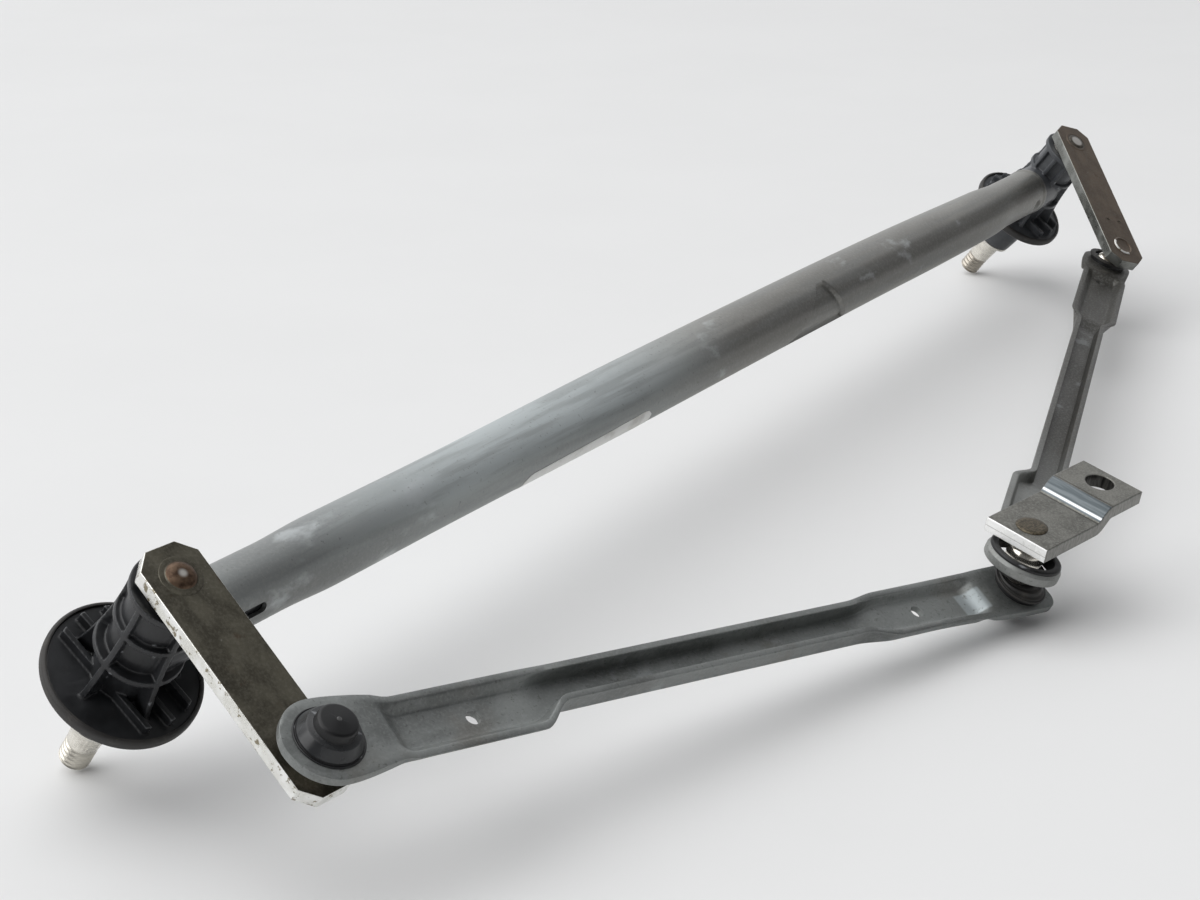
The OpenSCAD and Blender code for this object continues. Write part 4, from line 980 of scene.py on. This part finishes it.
def rod_section(x, length, tray_end, shifts, half, fade):
    """Section of a rod at x: a sheet pressed into a tray or a channel, set a little sideways."""
    begun = smooth((x - tray_end) / TRAY_RAMP)
    ended = 1 - smooth((length - x - INNER_TRAY) / TRAY_RAMP)
    m = begun * (1 - ended)
    p = faded(x, (PRESS_START, length - PRESS_START), (PRESS_RAMP, PRESS_RAMP))
    t = ROD_T + PAD_BOSS * (1 - smooth((min(x, length - x) - PAD_R) / BOSS_RAMP))
    top = t / 2
    fade = p if fade is None else fade
    edge = TRAY_HALF + fade * ((MID_HALF - TRAY_HALF) * begun + (INNER_HALF - MID_HALF) * ended)
    web = mix(TRAY_WEB, MID_WEB, m)
    depth = mix(TRAY_DEPTH, MID_DEPTH, m) * p
    shift = fade * (mix(shifts[0], shifts[1], begun) + (shifts[2] - shifts[1]) * ended)
    outer = edge + WALL_T
    scale = (half or outer) / outer
    edge, web, outer = edge * scale, web * scale, outer * scale
    rim = min(RIM_R, outer / 3)
    side, nip = outer - rim, rim * RIM_ROUND
    under = min(web + WALL_T * scale, side)
    over = [(y, top - depth * ease((edge - y) / (edge - web)))
            for y in spread(0, web, WEB_STEPS) + spread(web, edge, WALL_STEPS)[1:]]
    over += [(side, top), (outer - nip, top - nip), (outer, top - rim)]
    lip = top - t * (1 - p) - RIM_FOLD * rim * p
    low = top - t - depth
    below = [(outer, lip + rim), (outer - nip, lip + nip), (side, lip)]
    run = max(side - under, LEAST_RUN)
    below += [(y, mix(lip, low, ease((side - y) / run)))
              for y in spread(side, under, WALL_STEPS)[1:] + spread(under, 0, WEB_STEPS)[1:]]
    half_loop = over + below
    loop = half_loop + [(-y, z) for y, z in reversed(half_loop[1:-1])]
    return [(x, y + shift, z) for y, z in loop]


def pad_half(x, length, pad_r, square_end):
    """Half width of the rod where a pad widens it, or nothing between the pads."""
    if x < PAD_RUN:
        disc = math.sqrt(max(pad_r ** 2 - min(x, 0) ** 2, LEAST_SQUARE))
        return mix(disc, TRAY_HALF + WALL_T, smooth(x / PAD_RUN))
    d = x - (length + END_REACH - END_R)
    if square_end and d > 0:
        return TRAY_HALF + WALL_T - END_R + math.sqrt(max(END_R ** 2 - d ** 2, LEAST_SQUARE))
    return None


def rod_mesh(side, length, tray_end, shifts, pad_r, square_end):
    """A rod with a round pad at its start, and a square end or one that stops inside the open ring."""
    stations = [-pad_r * cos(a) for a in spread(0.02, pi / 2, 24)]
    stop = length + END_REACH - END_R if square_end else length - RING_LAP
    stations += spread(0, stop, round(stop / ROD_STEP))[1:]
    if square_end:
        stations += [stop + END_R * sin(a) for a in spread(0.1, pi / 2, 10)]
    rows = []
    for x in stations:
        fade = faded(x, (PRESS_START, length), (PRESS_RAMP, END_FADE)) if square_end else None
        half = pad_half(x, length, pad_r, square_end)
        rows.append(rod_section(x, length, tray_end, shifts, half, fade))
    return make_object("pressed_rod_" + side, rows, PLACES[side + "_rod"], caps=True)


def finish_rod(rod, side, sockets, holes, finish):
    """Drills a rod for its sockets and its small holes, and dresses it."""
    place = PLACES[side + "_rod"]
    for x in sockets:
        drill(rod, place, x, SOCKET_R + FIT, *PAD_DRILL)
    for x, y in holes:
        drill(rod, place, x, HOLE_R, *TRAY_DRILL, y)
    dress(rod, side + "_rod_assembly", [finish], [side + "_rod"], angle=38)


def build_left_rod():
    rod = rod_mesh("left", LEFT_ROD_LENGTH, LEFT_TRAY_END, LEFT_SHIFTS, PAD_R, True)
    holes = (HOLE_OFFSET, LEFT_SHIFTS[0]), (LEFT_ROD_LENGTH - HOLE_OFFSET, LEFT_SHIFTS[2])
    finish_rod(rod, "left", (0.0, LEFT_ROD_LENGTH), holes, LEFT_ROD_ZINC)


def build_right_rod():
    """The right rod, with the open ring at its inner end."""
    rod = rod_mesh("right", RIGHT_ROD_LENGTH, RIGHT_TRAY_END, RIGHT_SHIFTS, RIGHT_PAD_R, False)
    h, (rise, slope) = OPEN_RING_H / 2, RING_SHOULDER
    outline = fillet([(RING_CORE_R, -h, 0), (OPEN_RING_R, -h, 0.5), (OPEN_RING_R, rise, 0.4),
                      (OPEN_RING_R - slope, h, 0.3), (RING_CORE_R, h, 0)], 6, True)
    combine(rod, turned("ring", outline, PLACES["open_ring"], closed=True), "UNION")
    drill(rod, PLACES["right_rod"], RIGHT_ROD_LENGTH + OPEN_SHIFT, OPEN_BORE_R + OPEN_LINER_T, *PAD_DRILL)
    holes = (RIGHT_HOLE_OFFSET, 0.0), (RIGHT_ROD_LENGTH - HOLE_OFFSET, RIGHT_SHIFTS[2])
    finish_rod(rod, "right", (0.0,), holes, RIGHT_ROD_ZINC)


def build_open_liner():
    h, outer = OPEN_RING_H / 2, OPEN_BORE_R + OPEN_LINER_T - FIT
    over, high = h + FIT, h + LINER_RISE
    outline = fillet([(OPEN_BORE_R, -h, 0.3), (outer, -h, 0.2), (outer, over, 0), (LINER_LIP_R, over, 0.2),
                      (LINER_LIP_R, high, 0.7), (OPEN_BORE_R, high, 0.5)], closed=True)
    liner = turned("liner_open_socket", outline, PLACES["open_ring"], closed=True)
    dress(liner, "right_rod_assembly", [SOCKET_PLASTIC], ["right_inner_socket"])


# Crank

def crank_finish(centre, normal):
    """0 satin faces, 1 sheared front painted near white as a highlight, 2 the stretched bend, 3 grey sides, 4 the
    shaft hole, darkened as painted shade.
    """
    if hypot(centre.x - CRANK_THROW, centre.y) < SHAFT_HOLE_R + 0.2 and abs(normal.z) < 0.5:
        return 4
    if abs(normal.y) > 0.6:
        return 3
    if centre.x < -CRANK_TAIL + 0.6 and normal.x < -0.3:
        return 1
    if abs(normal.x) > 0.93:
        return 3
    return 2 if BEND_START + 0.4 < centre.x < BEND_START + BEND_LENGTH + 1 and abs(normal.x) > 0.12 else 0


CRANK_BEVEL, BEND_STEPS = 0.45, 10


def build_crank():
    far, bend_end = CRANK_THROW + CRANK_NOSE, BEND_START + BEND_LENGTH
    shift = CRANK_T * math.tan(math.atan2(CRANK_STEP, BEND_LENGTH) / 2)
    under, outer_r = CRANK_STEP - CRANK_T, BEND_R + CRANK_T
    outline = fillet([(-CRANK_TAIL, -CRANK_T, 0), (BEND_START + shift, -CRANK_T, outer_r),
                      (bend_end + shift, under, BEND_R), (far, under, 0), (far, CRANK_STEP, 0),
                      (bend_end, CRANK_STEP, outer_r), (BEND_START, 0, BEND_R), (-CRANK_TAIL, 0, 0)],
                     BEND_STEPS, True)
    rows = [[(x, y, CRANK_TOP + z) for x, z in outline] for y in (-CRANK_W / 2, CRANK_W / 2)]
    place = PLACES["crank"]
    crank = make_object("bent_crank", rows, place, caps=True)
    drill(crank, place, 0.0, SHANK_R + FIT, CRANK_TOP - CRANK_T - 2 * OVERRUN, CRANK_TOP + 2 * OVERRUN)
    drill(crank, place, CRANK_THROW, SHAFT_HOLE_R, CRANK_TOP - CRANK_T, CRANK_TOP + 2 * CRANK_T)
    bevelled(crank, CRANK_BEVEL, angle=50)
    finishes = [CRANK_FACE, HIGHLIT_CRANK_FRONT, CRANK_BEND, CRANK_SIDE, SHADED_BORE]
    dress(crank, "crank", finishes, ["crank_arm"], crank_finish)


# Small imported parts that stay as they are, in better finishes

def paint_nodes():
    finishes = {"upper_bush": BUSH_BRONZE, "lower_bush": BUSH_BRONZE, "shaft_seal": SEAL_RUBBER,
                "thrust_washer": WASHER_STEEL, "retaining_washer": WASHER_STEEL, "circlip": WASHER_STEEL}
    for side in ("left", "right"):
        for part, material in finishes.items():
            frame["nodes"][side + "_" + part].material_slots[0].material = material


# Stage

FLOOR_Z, FLOOR_HALF = -3.15, 9000.0
FLOOR_COLOUR, FLOOR_SHADE, FLOOR_STEPS = (0.76, 0.76, 0.757), 0.985, 8


def build_floor():
    p = Paint("pale_floor", Specular_IOR_Level=0.25)
    shade = tuple(FLOOR_SHADE * c for c in FLOOR_COLOUR)
    p.finish(p.blend(p.noise(160, 0.3, 0.7), FLOOR_COLOUR, shade), 0.6)
    places = spread(-FLOOR_HALF, FLOOR_HALF, FLOOR_STEPS)
    rows = [[(x, y, FLOOR_Z) for y in places] for x in places]
    floor = make_object("floor", rows, Matrix.Identity(4), close_ring=False)
    floor.data.materials.append(p.material)
    for face in floor.data.polygons:
        if face.normal.z < 0:
            face.flip()


def soft_light(name, heading, elevation, distance, size, power):
    """A soft box that looks at the middle of the part, with its distance and size in metres."""
    back = compass(heading, elevation)
    lamp = bpy.data.lights.new(name, "AREA")
    lamp.shape, lamp.energy = "RECTANGLE", power
    lamp.size, lamp.size_y = size
    obj = add_object(name, lamp)
    obj.location = (CAD_BOX[0] + CAD_BOX[1]) / 2 + back * distance
    obj.rotation_euler = back.to_track_quat("Z", "Y").to_euler()


VIEW_AZIMUTH, VIEW_ELEVATION = -57.8, 19.71
CAMERA_AT = (-0.42946, -0.45470, 0.31355)
FOCAL_PIXELS, PHOTO_WIDTH, SENSOR = 2281.0, 1200.0, 36.0
PALE_SIDE, WALL_REACH, WALL_LEVELS = (-30.0, 16.0), (-0.2, 0.95), (0.15, 0.9)
LAMPS = ("top", -100, 66, 6.0, (8.8, 8.8), 352), ("key", -118, 26, 6.0, (4.2, 3.2), 90)


def compass(heading, elevation):
    """Direction by compass round the part: heading 0 is away from the camera, 90 to its right."""
    a, e = radians(VIEW_AZIMUTH + 180 - heading), radians(elevation)
    return Vector((sin(a) * cos(e), -cos(a) * cos(e), sin(e)))


def build_world():
    """A room with a pale wall on one side that falls off to a dim one on the other."""
    world = bpy.data.worlds.new("studio")
    bpy.context.scene.world = world
    world.use_nodes = True
    tree = world.node_tree
    coords = tree.nodes.new("ShaderNodeTexCoord")
    facing = tree.nodes.new("ShaderNodeVectorMath")
    facing.operation = "DOT_PRODUCT"
    facing.inputs[1].default_value = compass(*PALE_SIDE)
    tree.links.new(coords.outputs["Generated"], facing.inputs[0])
    level = tree.nodes.new("ShaderNodeMapRange")
    level.interpolation_type = "SMOOTHSTEP"
    level.inputs["From Min"].default_value, level.inputs["From Max"].default_value = WALL_REACH
    level.inputs["To Min"].default_value, level.inputs["To Max"].default_value = WALL_LEVELS
    tree.links.new(facing.outputs["Value"], level.inputs["Value"])
    sky = tree.nodes["Background"]
    sky.inputs["Color"].default_value = (0.97, 0.98, 1.0, 1)
    tree.links.new(level.outputs["Result"], sky.inputs["Strength"])


def build_stage():
    build_floor()
    camera = bpy.data.cameras.new("camera")
    camera.sensor_width, camera.lens = SENSOR, FOCAL_PIXELS / PHOTO_WIDTH * SENSOR
    obj = add_object("camera", camera)
    obj.location = CAMERA_AT
    obj.rotation_euler = (radians(90 - VIEW_ELEVATION), 0, radians(VIEW_AZIMUTH))
    bpy.context.scene.camera = obj
    for lamp in LAMPS:
        soft_light(*lamp)
    build_world()
    bpy.context.scene.view_settings.view_transform = "Standard"


build_stage()
build_tube()
build_label()
for hand in ("left", "right"):
    build_housing(hand)
    build_flange_seal(hand)
    build_spindle(hand)
    build_ball_stud(hand)
build_lever("left")
build_lever("right")
build_left_rod()
build_right_rod()
build_open_liner()
for socket_name, body_name in (("left_outer", "left_rod_assembly"), ("left_inner", "left_rod_assembly"),
                               ("right_outer", "right_rod_assembly")):
    build_socket(socket_name + "_socket", PLACES[socket_name], body_name)
    build_dust_seal(socket_name + "_dust_seal", PLACES[socket_name], body_name)
build_crank()
build_double_stud()
build_stud_boot()
build_bellows()
paint_nodes()
